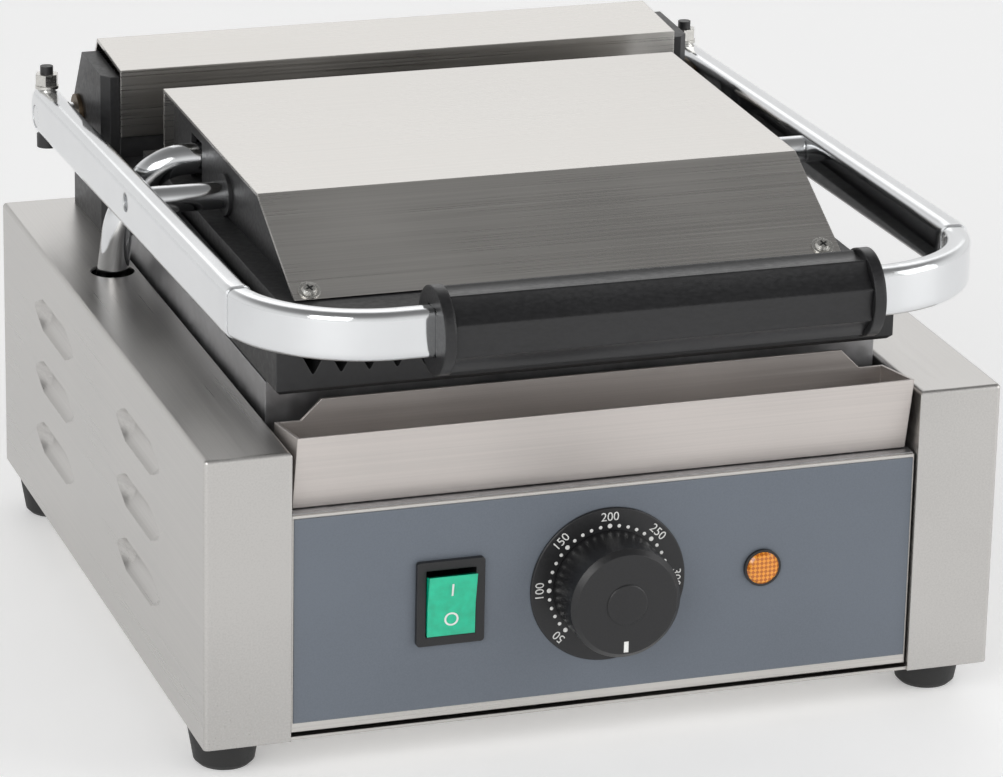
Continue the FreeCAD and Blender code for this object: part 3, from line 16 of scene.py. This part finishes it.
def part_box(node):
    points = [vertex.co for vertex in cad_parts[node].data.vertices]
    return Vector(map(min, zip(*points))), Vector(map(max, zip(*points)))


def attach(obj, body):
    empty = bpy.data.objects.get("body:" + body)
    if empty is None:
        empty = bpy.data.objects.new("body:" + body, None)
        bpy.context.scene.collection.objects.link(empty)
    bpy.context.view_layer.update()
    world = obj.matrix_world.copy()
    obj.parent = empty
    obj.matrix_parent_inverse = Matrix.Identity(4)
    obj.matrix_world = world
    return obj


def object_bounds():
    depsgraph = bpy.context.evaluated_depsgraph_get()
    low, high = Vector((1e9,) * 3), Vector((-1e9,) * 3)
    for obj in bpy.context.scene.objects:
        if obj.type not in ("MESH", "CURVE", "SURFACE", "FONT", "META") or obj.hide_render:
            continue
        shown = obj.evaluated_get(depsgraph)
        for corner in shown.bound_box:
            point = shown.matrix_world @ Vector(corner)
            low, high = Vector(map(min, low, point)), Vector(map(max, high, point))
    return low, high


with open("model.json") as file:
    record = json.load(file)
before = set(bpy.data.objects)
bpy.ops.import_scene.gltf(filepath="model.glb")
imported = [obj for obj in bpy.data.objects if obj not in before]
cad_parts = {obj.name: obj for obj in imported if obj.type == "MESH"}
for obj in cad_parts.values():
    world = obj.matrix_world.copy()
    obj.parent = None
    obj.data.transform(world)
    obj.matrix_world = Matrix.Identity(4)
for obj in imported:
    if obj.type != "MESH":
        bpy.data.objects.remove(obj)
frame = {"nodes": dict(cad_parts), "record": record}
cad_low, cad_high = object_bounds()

nodes = frame["nodes"]
scene = bpy.context.scene
MM = 0.001
print("pieces from the drawing:", len(nodes))

# %% [markdown]
# ## Smooth curves, crisp folds
# Curved faces arrive as narrow flat strips.  Shading can be blended across them, but the folds
# of sheet metal have to stay crisp.  A Weld modifier joins the strips and an Edge Split modifier
# parts them again wherever two faces meet at a real corner.  A Weighted Normal modifier then
# lets the large faces win, so that a flat sheet beside a bend still looks flat.  Modifiers leave
# the mesh as it was.

# %% Shade the curved faces
FOLD = math.radians(24)
SAME_POINT = 0.001 * MM
LARGE_FACES_WIN = 100

def shade_smooth(piece):
    """Blend the shading over curved faces and keep the corners crisp."""
    mesh = piece.data
    for name in ("custom_normal", "sharp_edge"):
        if name in mesh.attributes:
            mesh.attributes.remove(mesh.attributes[name])
    mesh.polygons.foreach_set("use_smooth", [True] * len(mesh.polygons))
    weld = piece.modifiers.new("Weld", "WELD")
    weld.merge_threshold = SAME_POINT
    corners = piece.modifiers.new("Corners", "EDGE_SPLIT")
    corners.use_edge_sharp = False
    corners.split_angle = FOLD
    flat = piece.modifiers.new("Flat", "WEIGHTED_NORMAL")
    flat.mode = "FACE_AREA"
    flat.weight = LARGE_FACES_WIN

for node in nodes.values():
    shade_smooth(node)
print("pieces shaded:", len(nodes))

# %% [markdown]
# ## How a finish is made
# No real surface is one flat colour.  Brushed sheet has long scratches, a casting has a sandy
# skin, and moulded plastic drifts in gloss.  Noise textures can give all of these: stretched
# along one axis they read as brushing, and kept even they read as grain.  The same recipe with
# other numbers makes every finish here, so it is one function with small helpers.

# %% Feed a shader's sockets
MIX_SHARE, MIX_FIRST, MIX_SECOND, MIX_RESULT = 0, 6, 7, 2

def feed(tree, socket, value):
    """Put a colour, a number or another node's output into a socket."""
    if isinstance(value, bpy.types.NodeSocket):
        tree.links.new(value, socket)
    elif isinstance(value, tuple):
        socket.default_value = (*value, 1.0)
    else:
        socket.default_value = value

def ranged(tree, value, low, high, from_low, from_high):
    """Stretch a value so that from_low becomes low and from_high becomes high."""
    span = tree.nodes.new("ShaderNodeMapRange")
    span.inputs["From Min"].default_value = from_low
    span.inputs["From Max"].default_value = from_high
    span.inputs["To Min"].default_value = low
    span.inputs["To Max"].default_value = high
    tree.links.new(value, span.inputs["Value"])
    return span.outputs["Result"]

def blended(tree, share, first, second):
    """A colour between two others."""
    mix = tree.nodes.new("ShaderNodeMix")
    mix.data_type = "RGBA"
    feed(tree, mix.inputs[MIX_SHARE], share)
    feed(tree, mix.inputs[MIX_FIRST], first)
    feed(tree, mix.inputs[MIX_SECOND], second)
    return mix.outputs[MIX_RESULT]

# %% [markdown]
# ## Grain and corners
# Noise is laid out in the piece's own space, so that it stays with the piece when it moves.  No
# real edge is perfectly sharp, and a soft edge catches a line of light.  Cutting a round into
# every edge would cost many faces, so the Bevel node rounds only the shading.  Where its answer
# differs from the flat face there is a corner.

# %% Noise and corners
BEVEL_RAYS = 4
WORN_BEND = 0.82
FLAT_BEND = 0.99

def cloud(tree, per_metre, detail):
    """Noise over the piece with this many cells to a metre along X, Y and Z."""
    where = tree.nodes.new("ShaderNodeTexCoord")
    stretch = tree.nodes.new("ShaderNodeMapping")
    stretch.inputs["Scale"].default_value = per_metre
    noise = tree.nodes.new("ShaderNodeTexNoise")
    noise.inputs["Scale"].default_value = 1.0
    noise.inputs["Detail"].default_value = detail
    tree.links.new(where.outputs["Object"], stretch.inputs["Vector"])
    tree.links.new(stretch.outputs["Vector"], noise.inputs["Vector"])
    return noise.outputs[0]

def rounded_normal(tree, radius):
    """The surface's direction with its corners rounded by a small radius."""
    bevel = tree.nodes.new("ShaderNodeBevel")
    bevel.samples = BEVEL_RAYS
    bevel.inputs["Radius"].default_value = radius
    return bevel.outputs["Normal"]

def corner_mask(tree, radius, most):
    """None on flat faces, up to most along corners, where hands and cloths rub."""
    plain = tree.nodes.new("ShaderNodeNewGeometry")
    dot = tree.nodes.new("ShaderNodeVectorMath")
    dot.operation = "DOT_PRODUCT"
    tree.links.new(rounded_normal(tree, radius), dot.inputs[0])
    tree.links.new(plain.outputs["Normal"], dot.inputs[1])
    return ranged(tree, dot.outputs["Value"], most, 0.0, WORN_BEND, FLAT_BEND)

# %% [markdown]
# ## One recipe for every finish
# Each finish is a tint and a gloss that drift a little over the piece, a fine grain that also
# lifts the surface, and softened corners.  Paint and plastic rub paler along their corners, so a
# share of wear can be mixed in there.

# %% The finish recipe
SOFT_CORNER = 0.45 * MM
WORN_CORNER = 0.8 * MM
PATCHES_PER_METRE = 11.0
GRAIN_DETAIL = 3.0
PATCH_DETAIL = 2.0
LOW_DRIFT = 0.38
HIGH_DRIFT = 0.62
COAT_ROUGHNESS = 0.12
BUMP_STRENGTH = 0.6
HALF = 0.5

def average(tree, first, second):
    """The mean of two values."""
    half = tree.nodes.new("ShaderNodeMath")
    half.operation = "MULTIPLY"
    tree.links.new(second, half.inputs[0])
    half.inputs[1].default_value = HALF
    mean = tree.nodes.new("ShaderNodeMath")
    mean.operation = "MULTIPLY_ADD"
    tree.links.new(first, mean.inputs[0])
    mean.inputs[1].default_value = HALF
    tree.links.new(half.outputs[0], mean.inputs[2])
    return mean.outputs[0]

def make_finish(name, tint, rough, metal=0.0, grain=(700, 700, 700), depth=0.02 * MM,
                tint_spread=0.1, rough_spread=0.05, wear=0.0, worn=(0.25, 0.25, 0.25), coat=0.0,
                corner=SOFT_CORNER):
    """One finish: tint and gloss that drift, a surface grain and softened corners."""
    material = bpy.data.materials.new(name)
    material.use_nodes = True
    tree = material.node_tree
    shader = tree.nodes["Principled BSDF"]
    shader.inputs["Metallic"].default_value = metal
    shader.inputs["Coat Weight"].default_value = coat
    shader.inputs["Coat Roughness"].default_value = COAT_ROUGHNESS
    fine = cloud(tree, grain, GRAIN_DETAIL)
    patches = cloud(tree, (PATCHES_PER_METRE,) * 3, PATCH_DETAIL)
    drift = ranged(tree, average(tree, fine, patches), 0.0, 1.0, LOW_DRIFT, HIGH_DRIFT)
    dark = tuple(channel * (1 - tint_spread) for channel in tint)
    light = tuple(channel * (1 + tint_spread) for channel in tint)
    colour = blended(tree, drift, dark, light)
    if wear:
        colour = blended(tree, corner_mask(tree, WORN_CORNER, wear), colour, worn)
    feed(tree, shader.inputs["Base Color"], colour)
    feed(tree, shader.inputs["Roughness"],
         ranged(tree, drift, rough - rough_spread, rough + rough_spread, 0.0, 1.0))
    bump = tree.nodes.new("ShaderNodeBump")
    bump.inputs["Strength"].default_value = BUMP_STRENGTH
    bump.inputs["Distance"].default_value = depth
    tree.links.new(fine, bump.inputs["Height"])
    tree.links.new(rounded_normal(tree, corner), bump.inputs["Normal"])
    tree.links.new(bump.outputs["Normal"], shader.inputs["Normal"])
    return material

# %% [markdown]
# ## Stainless sheet
# The body is folded from brushed stainless steel.  The brushing runs across the front, the tray
# and the cover, and along the side housings from front to back.  The tray is duller, as a part
# that is scrubbed every day is.  An image of brushed steel would repeat and needs unwrapping, so
# long thin noise cells do the brushing instead.

# %% Brushed steel
LONG = 7
FINE = 1500
STEEL = (0.60, 0.582, 0.555)
HOUSING_STEEL = (0.535, 0.522, 0.505)
TRAY_STEEL = (0.64, 0.60, 0.575)
across_steel = make_finish("steel_brushed_across", STEEL, rough=0.30, metal=1.0,
                           grain=(LONG, FINE, FINE), tint_spread=0.08)
along_steel = make_finish("steel_brushed_along", HOUSING_STEEL, rough=0.33, metal=1.0,
                          grain=(FINE, LONG, FINE), tint_spread=0.08, rough_spread=0.06)
tray_steel = make_finish("steel_satin_tray", TRAY_STEEL, rough=0.52, metal=1.0,
                         grain=(LONG, FINE, FINE), tint_spread=0.06)
print("steel finishes:", across_steel.name, along_steel.name, tray_steel.name)

# %% [markdown]
# ## Plain metals
# Chrome is nearly a mirror, so its drift is faint, and its corners are polished rounder than the
# rest.  Each metal could have a recipe of its own, but they differ only in numbers.

# %% Plated and bare metals
POLISHED_CORNER = 1.5 * MM
chrome = make_finish("chrome_plate", (0.74, 0.75, 0.76), rough=0.075, metal=1.0,
                     grain=(60, 60, 60), depth=0.004 * MM, tint_spread=0.02, rough_spread=0.02,
                     corner=POLISHED_CORNER)
zinc = make_finish("zinc_plate", (0.62, 0.61, 0.58), rough=0.28, metal=1.0, grain=(900, 900, 900))
inner_steel = make_finish("galvanised_sheet", (0.46, 0.46, 0.47), rough=0.42, metal=1.0,
                          grain=(260, 260, 260))
core_steel = make_finish("dark_steel", (0.26, 0.26, 0.27), rough=0.4, metal=1.0,
                         grain=(400, 400, 400))
bronze = make_finish("sintered_bronze", (0.16, 0.12, 0.08), rough=0.45, metal=1.0,
                     grain=(900, 900, 900))
metals = {"brushed_steel": across_steel, "chrome": chrome, "zinc": zinc,
          "inner_steel": inner_steel, "core_steel": core_steel, "bush_bronze": bronze}
print("metals:", len(metals))

# %% [markdown]
# ## Iron, paint and coating
# The plates are cast iron with a sandy black skin that rubs grey on its edges.  The brackets have
# black heat-proof paint, and the control panel a satin blue-grey coating.  A map of the rubbed
# edges could be painted by hand, but finding the corners needs no unwrapping.

# %% Black iron and coated steel
cast_iron = make_finish("cast_iron_black", (0.020, 0.020, 0.021), rough=0.50,
                        grain=(420, 420, 420), depth=0.12 * MM, tint_spread=0.3, rough_spread=0.1,
                        wear=0.35, worn=(0.09, 0.09, 0.09))
black_steel = make_finish("black_heat_paint", (0.020, 0.020, 0.021), rough=0.45,
                          grain=(600, 600, 600), depth=0.04 * MM, tint_spread=0.2,
                          rough_spread=0.08, wear=0.3, worn=(0.12, 0.12, 0.12))
grey_panel = make_finish("panel_coating", (0.132, 0.151, 0.179), rough=0.40, metal=0.25,
                         grain=(1900, 1900, 1900), tint_spread=0.07, wear=0.25,
                         worn=(0.3, 0.33, 0.35))
coats = {"cast_iron": cast_iron, "black_steel": black_steel, "grey_panel": grey_panel}
print("coated metals:", len(coats))

# %% [markdown]
# ## Plastic, rubber and wool
# The grip, knob and switch frame are moulded plastic, the switch's cap is glossy green, the feet
# are rubber, and mineral wool lies under the lower plate.  The grip's grain is drawn out along
# it, because its plastic flowed that way in the mould.

# %% Plastics, rubber and wool
CLEAR_COAT = 0.6
MOULDED_CORNER = 1.2 * MM
black_grip = make_finish("grip_phenolic", (0.012, 0.012, 0.013), rough=0.38,
                         grain=(500, 900, 900), depth=0.03 * MM, tint_spread=0.25,
                         rough_spread=0.08, wear=0.2, worn=(0.04, 0.04, 0.04),
                         corner=MOULDED_CORNER)
black_plastic = make_finish("moulded_black", (0.011, 0.011, 0.012), rough=0.36,
                            grain=(1300, 1300, 1300), tint_spread=0.2, rough_spread=0.06,
                            wear=0.2, worn=(0.04, 0.04, 0.04))
green_rocker = make_finish("green_cap", (0.0, 0.46, 0.26), rough=0.14, grain=(300, 300, 300),
                           depth=0.004 * MM, tint_spread=0.15, rough_spread=0.03,
                           coat=CLEAR_COAT)
black_rubber = make_finish("foot_rubber", (0.016, 0.016, 0.016), rough=0.62, depth=0.05 * MM,
                           tint_spread=0.25, rough_spread=0.1)
wool = make_finish("mineral_wool", (0.62, 0.58, 0.48), rough=0.95, grain=(900, 300, 900),
                   depth=0.3 * MM)
mouldings = {"black_grip": black_grip, "black_plastic": black_plastic,
             "green_rocker": green_rocker, "black_rubber": black_rubber, "wool": wool}
print("mouldings:", len(mouldings))

# %% [markdown]
# ## Ink and recesses
# Printed marks are white ink, and the screws' cross slots are dark from the shadow inside them.

# %% Ink and screw recesses
white_ink = make_finish("white_ink", (0.80, 0.80, 0.78), rough=0.5, grain=(2500, 2500, 2500),
                        depth=0.004 * MM, tint_spread=0.05)
# The slots' near-black colour is painted shade: the shadow inside a cross slot, laid on as a
# colour.
slot_shade = make_finish("painted_slot_shade", (0.03, 0.03, 0.03), rough=0.5, metal=0.6)
print("marks:", white_ink.name, slot_shade.name)

# %% [markdown]
# ## The lamp's lens
# The lens is amber plastic moulded with a fine diamond grid that scatters the lamp behind it.
# The grid is far too fine to cut, so a checker pattern turned by half a right angle tints it.

# %% Amber lens
GRID_PER_METRE = 900.0
LIGHT_AMBER = (0.72, 0.27, 0.02, 1.0)
DEEP_AMBER = (0.42, 0.11, 0.005, 1.0)
GRID_TURN = math.radians(45)
NEARLY_FLAT = 0.01
LENS_GLOW = 0.1
LENS_ROUGHNESS = 0.18
lens = bpy.data.materials.new("amber_lens_grid")
lens.use_nodes = True
tree = lens.node_tree
shader = tree.nodes["Principled BSDF"]
where = tree.nodes.new("ShaderNodeTexCoord")
turned = tree.nodes.new("ShaderNodeMapping")
turned.inputs["Rotation"].default_value = (0.0, GRID_TURN, 0.0)
turned.inputs["Scale"].default_value = (1.0, NEARLY_FLAT, 1.0)
grid = tree.nodes.new("ShaderNodeTexChecker")
grid.inputs["Scale"].default_value = GRID_PER_METRE
grid.inputs["Color1"].default_value = LIGHT_AMBER
grid.inputs["Color2"].default_value = DEEP_AMBER
tree.links.new(where.outputs["Object"], turned.inputs["Vector"])
tree.links.new(turned.outputs["Vector"], grid.inputs["Vector"])
tree.links.new(grid.outputs["Color"], shader.inputs["Base Color"])
tree.links.new(grid.outputs["Color"], shader.inputs["Emission Color"])
shader.inputs["Emission Strength"].default_value = LENS_GLOW
shader.inputs["Roughness"].default_value = LENS_ROUGHNESS
shader.inputs["Coat Weight"].default_value = CLEAR_COAT
print("lens:", lens.name)

# %% [markdown]
# ## Give every piece its finish
# The record says which finish each piece has.  It doesn't tell a few of them apart: the side
# housings' brushing runs the other way, the tray is satin, and the clamp bolts are black beside
# their zinc nuts.

# %% Put the finishes on
finishes = {**metals, **coats, **mouldings, "amber_lens": lens}
own_finish = {"side_housing_left": along_steel, "side_housing_right": along_steel,
              "drip_tray": tray_steel, "clamp_bolts": black_steel}
for part in frame["record"]["subparts"]:
    node = nodes[part["node"]]
    chosen = own_finish.get(part["node"], finishes[part["material_slot"]])
    node.data.materials.clear()
    node.data.materials.append(chosen)

# %% [markdown]
# ## Marks on a surface
# Numbers and marks are printed ink, a few hundredths of a millimetre proud.  A decal image would
# blur, so they are flat letters cut from Blender's own font.  A ray sent backwards from in front
# of a piece finds where its surface is and which way it faces, and the mark is laid there.

# %% Find a face and lay a mark on it
INK = 0.04 * MM
IN_FRONT = 50 * MM
BACKWARDS = Vector((0, 1, 0))
UPWARDS = Vector((0, 0, 1))

def on_face(node_name, across, up):
    """A place on a piece's front: the point, with Z out of the surface and Y up it."""
    start = Vector((across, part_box(node_name)[0].y - IN_FRONT, up))
    found, point, normal, _ = nodes[node_name].ray_cast(start, BACKWARDS)
    if not found:
        raise ValueError("nothing of %s is there" % node_name)
    side = UPWARDS.cross(normal).normalized()
    facing = Matrix((side, normal.cross(side), normal)).transposed().to_4x4()
    return Matrix.Translation(point + normal * INK) @ facing

def add_piece(name, mesh, body, material):
    """Make an object of a mesh that is already in place, and let it move with a body."""
    piece = bpy.data.objects.new(name, mesh)
    scene.collection.objects.link(piece)
    mesh.materials.clear()
    mesh.materials.append(material)
    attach(piece, body)
    return piece

def finished_mesh(name, shape):
    """Turn a built-up shape into a mesh and free it."""
    mesh = bpy.data.meshes.new(name)
    shape.to_mesh(mesh)
    shape.free()
    return mesh

def lettering(name, words, size, place, body):
    """Flat white letters of this size, centred on a place."""
    font = bpy.data.curves.new(name, "FONT")
    font.body = words
    font.size = size
    font.extrude = INK
    font.align_x = "CENTER"
    font.align_y = "CENTER"
    text = bpy.data.objects.new(name + "_text", font)
    scene.collection.objects.link(text)
    bpy.context.view_layer.update()
    graph = bpy.context.evaluated_depsgraph_get()
    mesh = bpy.data.meshes.new_from_object(text.evaluated_get(graph))
    bpy.data.objects.remove(text)
    mesh.transform(place)
    return add_piece(name, mesh, body, white_ink)

# %% [markdown]
# ## The dial's scale
# The round scale plate is fixed, and the knob turns in front of it.  Its numbers follow the
# circle, with the knob's stop at the bottom.  They could be typed as one line and bent, but
# placing each number by its own angle keeps them exact.

# %% Print the scale
dial_low, dial_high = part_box("dial_ring")
dial_centre = (dial_low + dial_high) / 2
NUMBER_RADIUS = 25.0 * MM
NUMBER_SIZE = 4.5 * MM
OFF_TURN = 180
FIRST_TURN = -135
LAST_TURN = 90
NUMBER_TURN = 45
DEGREES_BETWEEN = 50

def dial_number(number, degrees):
    """Print a number at a place on the scale, with its foot towards the middle."""
    turn = math.radians(degrees)
    across = dial_centre.x + NUMBER_RADIUS * math.sin(turn)
    up = dial_centre.z + NUMBER_RADIUS * math.cos(turn)
    place = on_face("dial_ring", across, up) @ Matrix.Rotation(-turn, 4, "Z")
    lettering("dial_%d" % number, str(number), NUMBER_SIZE, place, "base")

number_turns = range(FIRST_TURN, LAST_TURN + 1, NUMBER_TURN)
for index, degrees in enumerate(number_turns, start=1):
    dial_number(DEGREES_BETWEEN * index, degrees)
dial_number(0, OFF_TURN)
print("numbers on the dial:", len(number_turns) + 1)

# %% [markdown]
# ## The dial's dots
# Small dots inside the numbers divide the scale, with a larger one at each number.  They are thin
# discs in one mesh, because they never move apart.

# %% Print the dots
DOT_RADIUS = 0.65 * MM
BIG_DOT_RADIUS = 0.85 * MM
DOT_CIRCLE = 21.7 * MM
DOT_SIDES = 24
DOT_TURN = 9
dots = bmesh.new()
dot_y = dial_low.y - INK
dot_turns = range(FIRST_TURN, LAST_TURN + 1, DOT_TURN)
for degrees in dot_turns:
    turn = math.radians(degrees)
    middle = Vector((dial_centre.x + DOT_CIRCLE * math.sin(turn), dot_y,
                     dial_centre.z + DOT_CIRCLE * math.cos(turn)))
    spin = Matrix.Translation(middle) @ Matrix.Rotation(math.pi / 2, 4, "X")
    radius = BIG_DOT_RADIUS if degrees in number_turns else DOT_RADIUS
    bmesh.ops.create_cone(dots, cap_ends=True, segments=DOT_SIDES, radius1=radius,
                          radius2=radius, depth=2 * INK, matrix=spin)
add_piece("dial_dots", finished_mesh("dial_dots", dots), "base", white_ink)
print("dots on the dial:", len(dot_turns))

# %% [markdown]
# ## The knob's cap
# The knob's front carries a small raised cap.  The cap is a turned shape, so it is made like
# turning on a lathe: a few profile points carried round the axis.

# %% Turn the cap on the knob's face
TURNING_STEPS = 96

def turned_piece(name, profile, centre, body, material):
    """Carry (radius, forward) points round a line along Y, and close both ends."""
    mesh = bpy.data.meshes.new(name)
    points = []
    faces = []
    count = len(profile)
    for step in range(TURNING_STEPS):
        turn = 2 * math.pi * step / TURNING_STEPS
        for radius, forward in profile:
            points.append((centre.x + radius * math.sin(turn), centre.y - forward,
                           centre.z + radius * math.cos(turn)))
        following = (step + 1) % TURNING_STEPS
        for index in range(count - 1):
            near = step * count + index
            far = following * count + index
            faces.append((near, near + 1, far + 1, far))
    faces.append([step * count for step in range(TURNING_STEPS)])
    faces.append([step * count + count - 1 for step in range(TURNING_STEPS)])
    mesh.from_pydata(points, [], faces)
    shape = bmesh.new()
    shape.from_mesh(mesh)
    bmesh.ops.recalc_face_normals(shape, faces=shape.faces)
    shape.to_mesh(mesh)
    shape.free()
    piece = add_piece(name, mesh, body, material)
    shade_smooth(piece)
    return piece

knob_face = Vector((dial_centre.x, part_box("temperature_knob")[0].y, dial_centre.z))
CAP = [(7.4, -0.2), (7.4, 0.2), (7.0, 0.45), (4.0, 0.6), (0.5, 0.65)]
cap_profile = [(radius * MM, forward * MM) for radius, forward in CAP]
turned_piece("knob_face_cap", cap_profile, knob_face, "knob", black_plastic)
print("cap's width, mm:", 2 * CAP[0][0])

# %% [markdown]
# ## The knob's pointer
# One white bar near the knob's rim points at the scale.  A letter could serve, but its strokes
# are too thin, so it is a plain bar.

# %% Print the pointer
POINTER_DROP = 15.6 * MM
POINTER_LONG = 4.0 * MM
POINTER_WIDE = 1.7 * MM
place = on_face("temperature_knob", dial_centre.x, dial_centre.z - POINTER_DROP)
bar = bmesh.new()
bar_size = Matrix.Diagonal((POINTER_WIDE, POINTER_LONG, 2 * INK, 1))
bmesh.ops.create_cube(bar, size=1, matrix=place @ bar_size)
add_piece("knob_pointer", finished_mesh("knob_pointer", bar), "knob", white_ink)
print("pointer's length, mm:", POINTER_LONG / MM)

# %% [markdown]
# ## The switch's marks
# A mains rocker has a stroke for on and a ring for off, one on each half of its cap.  The two
# halves lean different ways, and the ray finds each one's own slope.

# %% Print on and off
cap_low, cap_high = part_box("power_rocker")
cap_middle = (cap_low + cap_high) / 2
MARK_RISE = 5.6 * MM
MARK_SIZE = 7.0 * MM
for name, letter, rise in (("rocker_on", "I", MARK_RISE), ("rocker_off", "O", -MARK_RISE)):
    place = on_face("power_rocker", cap_middle.x, cap_middle.z + rise)
    lettering(name, letter, MARK_SIZE, place, "rocker")
print("marks' height on the switch, mm:", MARK_SIZE / MM)

# %% [markdown]
# ## Cross slots in the cover's screws
# Two cross-head screws hold the cover's foot.  Each slot is a small cross of painted shade,
# standing for the shadow inside the slot, half sunk into the screw's head, in line with the slope
# that the screw stands on.

# %% Lay the painted shade of the cross slots
SLOT_LONG = 3.0 * MM
SLOT_WIDE = 0.7 * MM
SLOT_DEEP = 0.08 * MM
SLOT_TURNS = (25, 115)
PAST_FOOT = 20 * MM
ABOVE = 100 * MM
screws = nodes["cover_screws"].data
slope_start = Vector((0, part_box("upper_cover")[0].y + PAST_FOOT, cad_high.z + ABOVE))
_, _, slope, _ = nodes["upper_cover"].ray_cast(slope_start, -UPWARDS)
slot_turn = slope.to_track_quat("Z", "Y").to_matrix().to_4x4()
for name, side in (("left", -1), ("right", 1)):
    mine = [vertex.co for vertex in screws.vertices if vertex.co.x * side > 0]
    top = max(point.dot(slope) for point in mine)
    head = [point for point in mine if point.dot(slope) > top - SLOT_DEEP / 4]
    middle = sum(head, Vector()) / len(head)
    cross = bmesh.new()
    for degrees in SLOT_TURNS:
        spin = Matrix.Rotation(math.radians(degrees), 4, "Z")
        bar_size = Matrix.Diagonal((SLOT_LONG, SLOT_WIDE, SLOT_DEEP, 1))
        place = Matrix.Translation(middle) @ slot_turn @ spin @ bar_size
        bmesh.ops.create_cube(cross, size=1, matrix=place)
    label = "screw_slot_shade_" + name
    # Each dark cross is painted shade for the inside of the slot.
    add_piece(label, finished_mesh(label, cross), "platen", slot_shade)
print("slope faces", [round(part, 2) for part in slope])

# %% [markdown]
# ## Floor
# Steel and chrome show their surroundings more than themselves.  A plain pale floor fills their
# lower half, and a faint glow of its own keeps it pale under the grill's shadow.

# %% Lay the floor
FLOOR_SIDE = 12.0
FLOOR_GLOW = 0.26
FLOOR_GAP = 0.1 * MM
floor_mesh = bpy.data.meshes.new("floor")
half = FLOOR_SIDE / 2
floor_mesh.from_pydata([(-half, -half, 0), (half, -half, 0), (half, half, 0), (-half, half, 0)],
                       [], [(0, 1, 2, 3)])
floor = bpy.data.objects.new("floor", floor_mesh)
floor.location.z = cad_low.z - FLOOR_GAP
scene.collection.objects.link(floor)
pale = make_finish("pale_floor", (0.90, 0.90, 0.90), rough=0.6, grain=(40, 40, 40),
                   depth=0.01 * MM, tint_spread=0.01)
glow = pale.node_tree.nodes["Principled BSDF"]
glow.inputs["Emission Color"].default_value = (1.0, 1.0, 1.0, 1.0)
glow.inputs["Emission Strength"].default_value = FLOOR_GLOW
floor_mesh.materials.append(pale)
print("floor's side, m:", FLOOR_SIDE)

# %% [markdown]
# ## Studio
# The studio is bright near the horizon and darker overhead, so that the cover's front slope,
# which looks at the ceiling, goes darker than its flat top.  An image of a studio could light the
# grill too, but a few steps of grey by height are enough for plain sheet.

# %% Light the studio's walls and ceiling
HORIZON = (0.0, 1.0)
ZENITH = (1.0, 0.22)
BETWEEN = ((0.35, 0.95), (0.68, 0.38))
SKY_STRENGTH = 0.9

def grey(bright):
    """A grey of this brightness."""
    return (bright, bright, bright, 1.0)

world = bpy.data.worlds.new("studio")
scene.world = world
world.use_nodes = True
tree = world.node_tree
where = tree.nodes.new("ShaderNodeTexCoord")
split = tree.nodes.new("ShaderNodeSeparateXYZ")
ramp = tree.nodes.new("ShaderNodeValToRGB")
tree.links.new(where.outputs["Generated"], split.inputs[0])
tree.links.new(split.outputs["Z"], ramp.inputs[0])
tree.links.new(ramp.outputs["Color"], tree.nodes["Background"].inputs["Color"])
stops = ramp.color_ramp.elements
for stop, (height, bright) in zip(stops, (HORIZON, ZENITH)):
    stop.position = height
    stop.color = grey(bright)
for height, bright in BETWEEN:
    stops.new(height).color = grey(bright)
tree.nodes["Background"].inputs["Strength"].default_value = SKY_STRENGTH
print("steps in the studio's brightness:", len(stops))

# %% [markdown]
# ## Lamps
# Three large square lamps give soft shadows: a key from the front left, a weaker fill from the
# right, and a faint one behind.  Each is given as a place and a side in metres, then watts.

# %% Set the lamps
AIM = Vector((0, 0, 0.1))
LAMPS = (("key", (-1.5, -1.7, 1.3), 1.3, 21), ("fill", (1.8, -1.2, 0.9), 1.3, 14),
         ("back", (0.7, 2.0, 1.6), 1.6, 5))
for name, place, size, power in LAMPS:
    light = bpy.data.lights.new(name, "AREA")
    light.size = size
    light.energy = power
    lamp = bpy.data.objects.new(name, light)
    lamp.location = place
    beam = AIM - Vector(place)
    lamp.rotation_euler = beam.to_track_quat("-Z", "Y").to_euler()
    scene.collection.objects.link(lamp)
scene.view_settings.view_transform = "Standard"
print("lamps:", [name for name, *_ in LAMPS])

# %% [markdown]
# ## Camera
# A long lens from a little above and to the left keeps the grill's edges nearly parallel.

# %% Set the camera
TURN = math.radians(-18.87)
TILT = math.radians(19.63)
ROLL = math.radians(1.18)
EYE = Vector((-0.5458, -1.6125, 0.6930))
LENS = 175.7
FILM_WIDTH = 36.0
ahead = Vector((-math.sin(TURN) * math.cos(TILT), math.cos(TURN) * math.cos(TILT),
                -math.sin(TILT)))
level = ahead.cross(UPWARDS).normalized()
above = level.cross(ahead)
right = level * math.cos(ROLL) + above * math.sin(ROLL)
up = above * math.cos(ROLL) - level * math.sin(ROLL)
lens_data = bpy.data.cameras.new("camera")
lens_data.lens = LENS
lens_data.sensor_width = FILM_WIDTH
lens_data.sensor_fit = "HORIZONTAL"
camera = bpy.data.objects.new("camera", lens_data)
camera.matrix_world = Matrix.Translation(EYE) @ Matrix((right, up, -ahead)).transposed().to_4x4()
scene.collection.objects.link(camera)
scene.camera = camera
print("camera's distance, m:", round(EYE.length, 2))
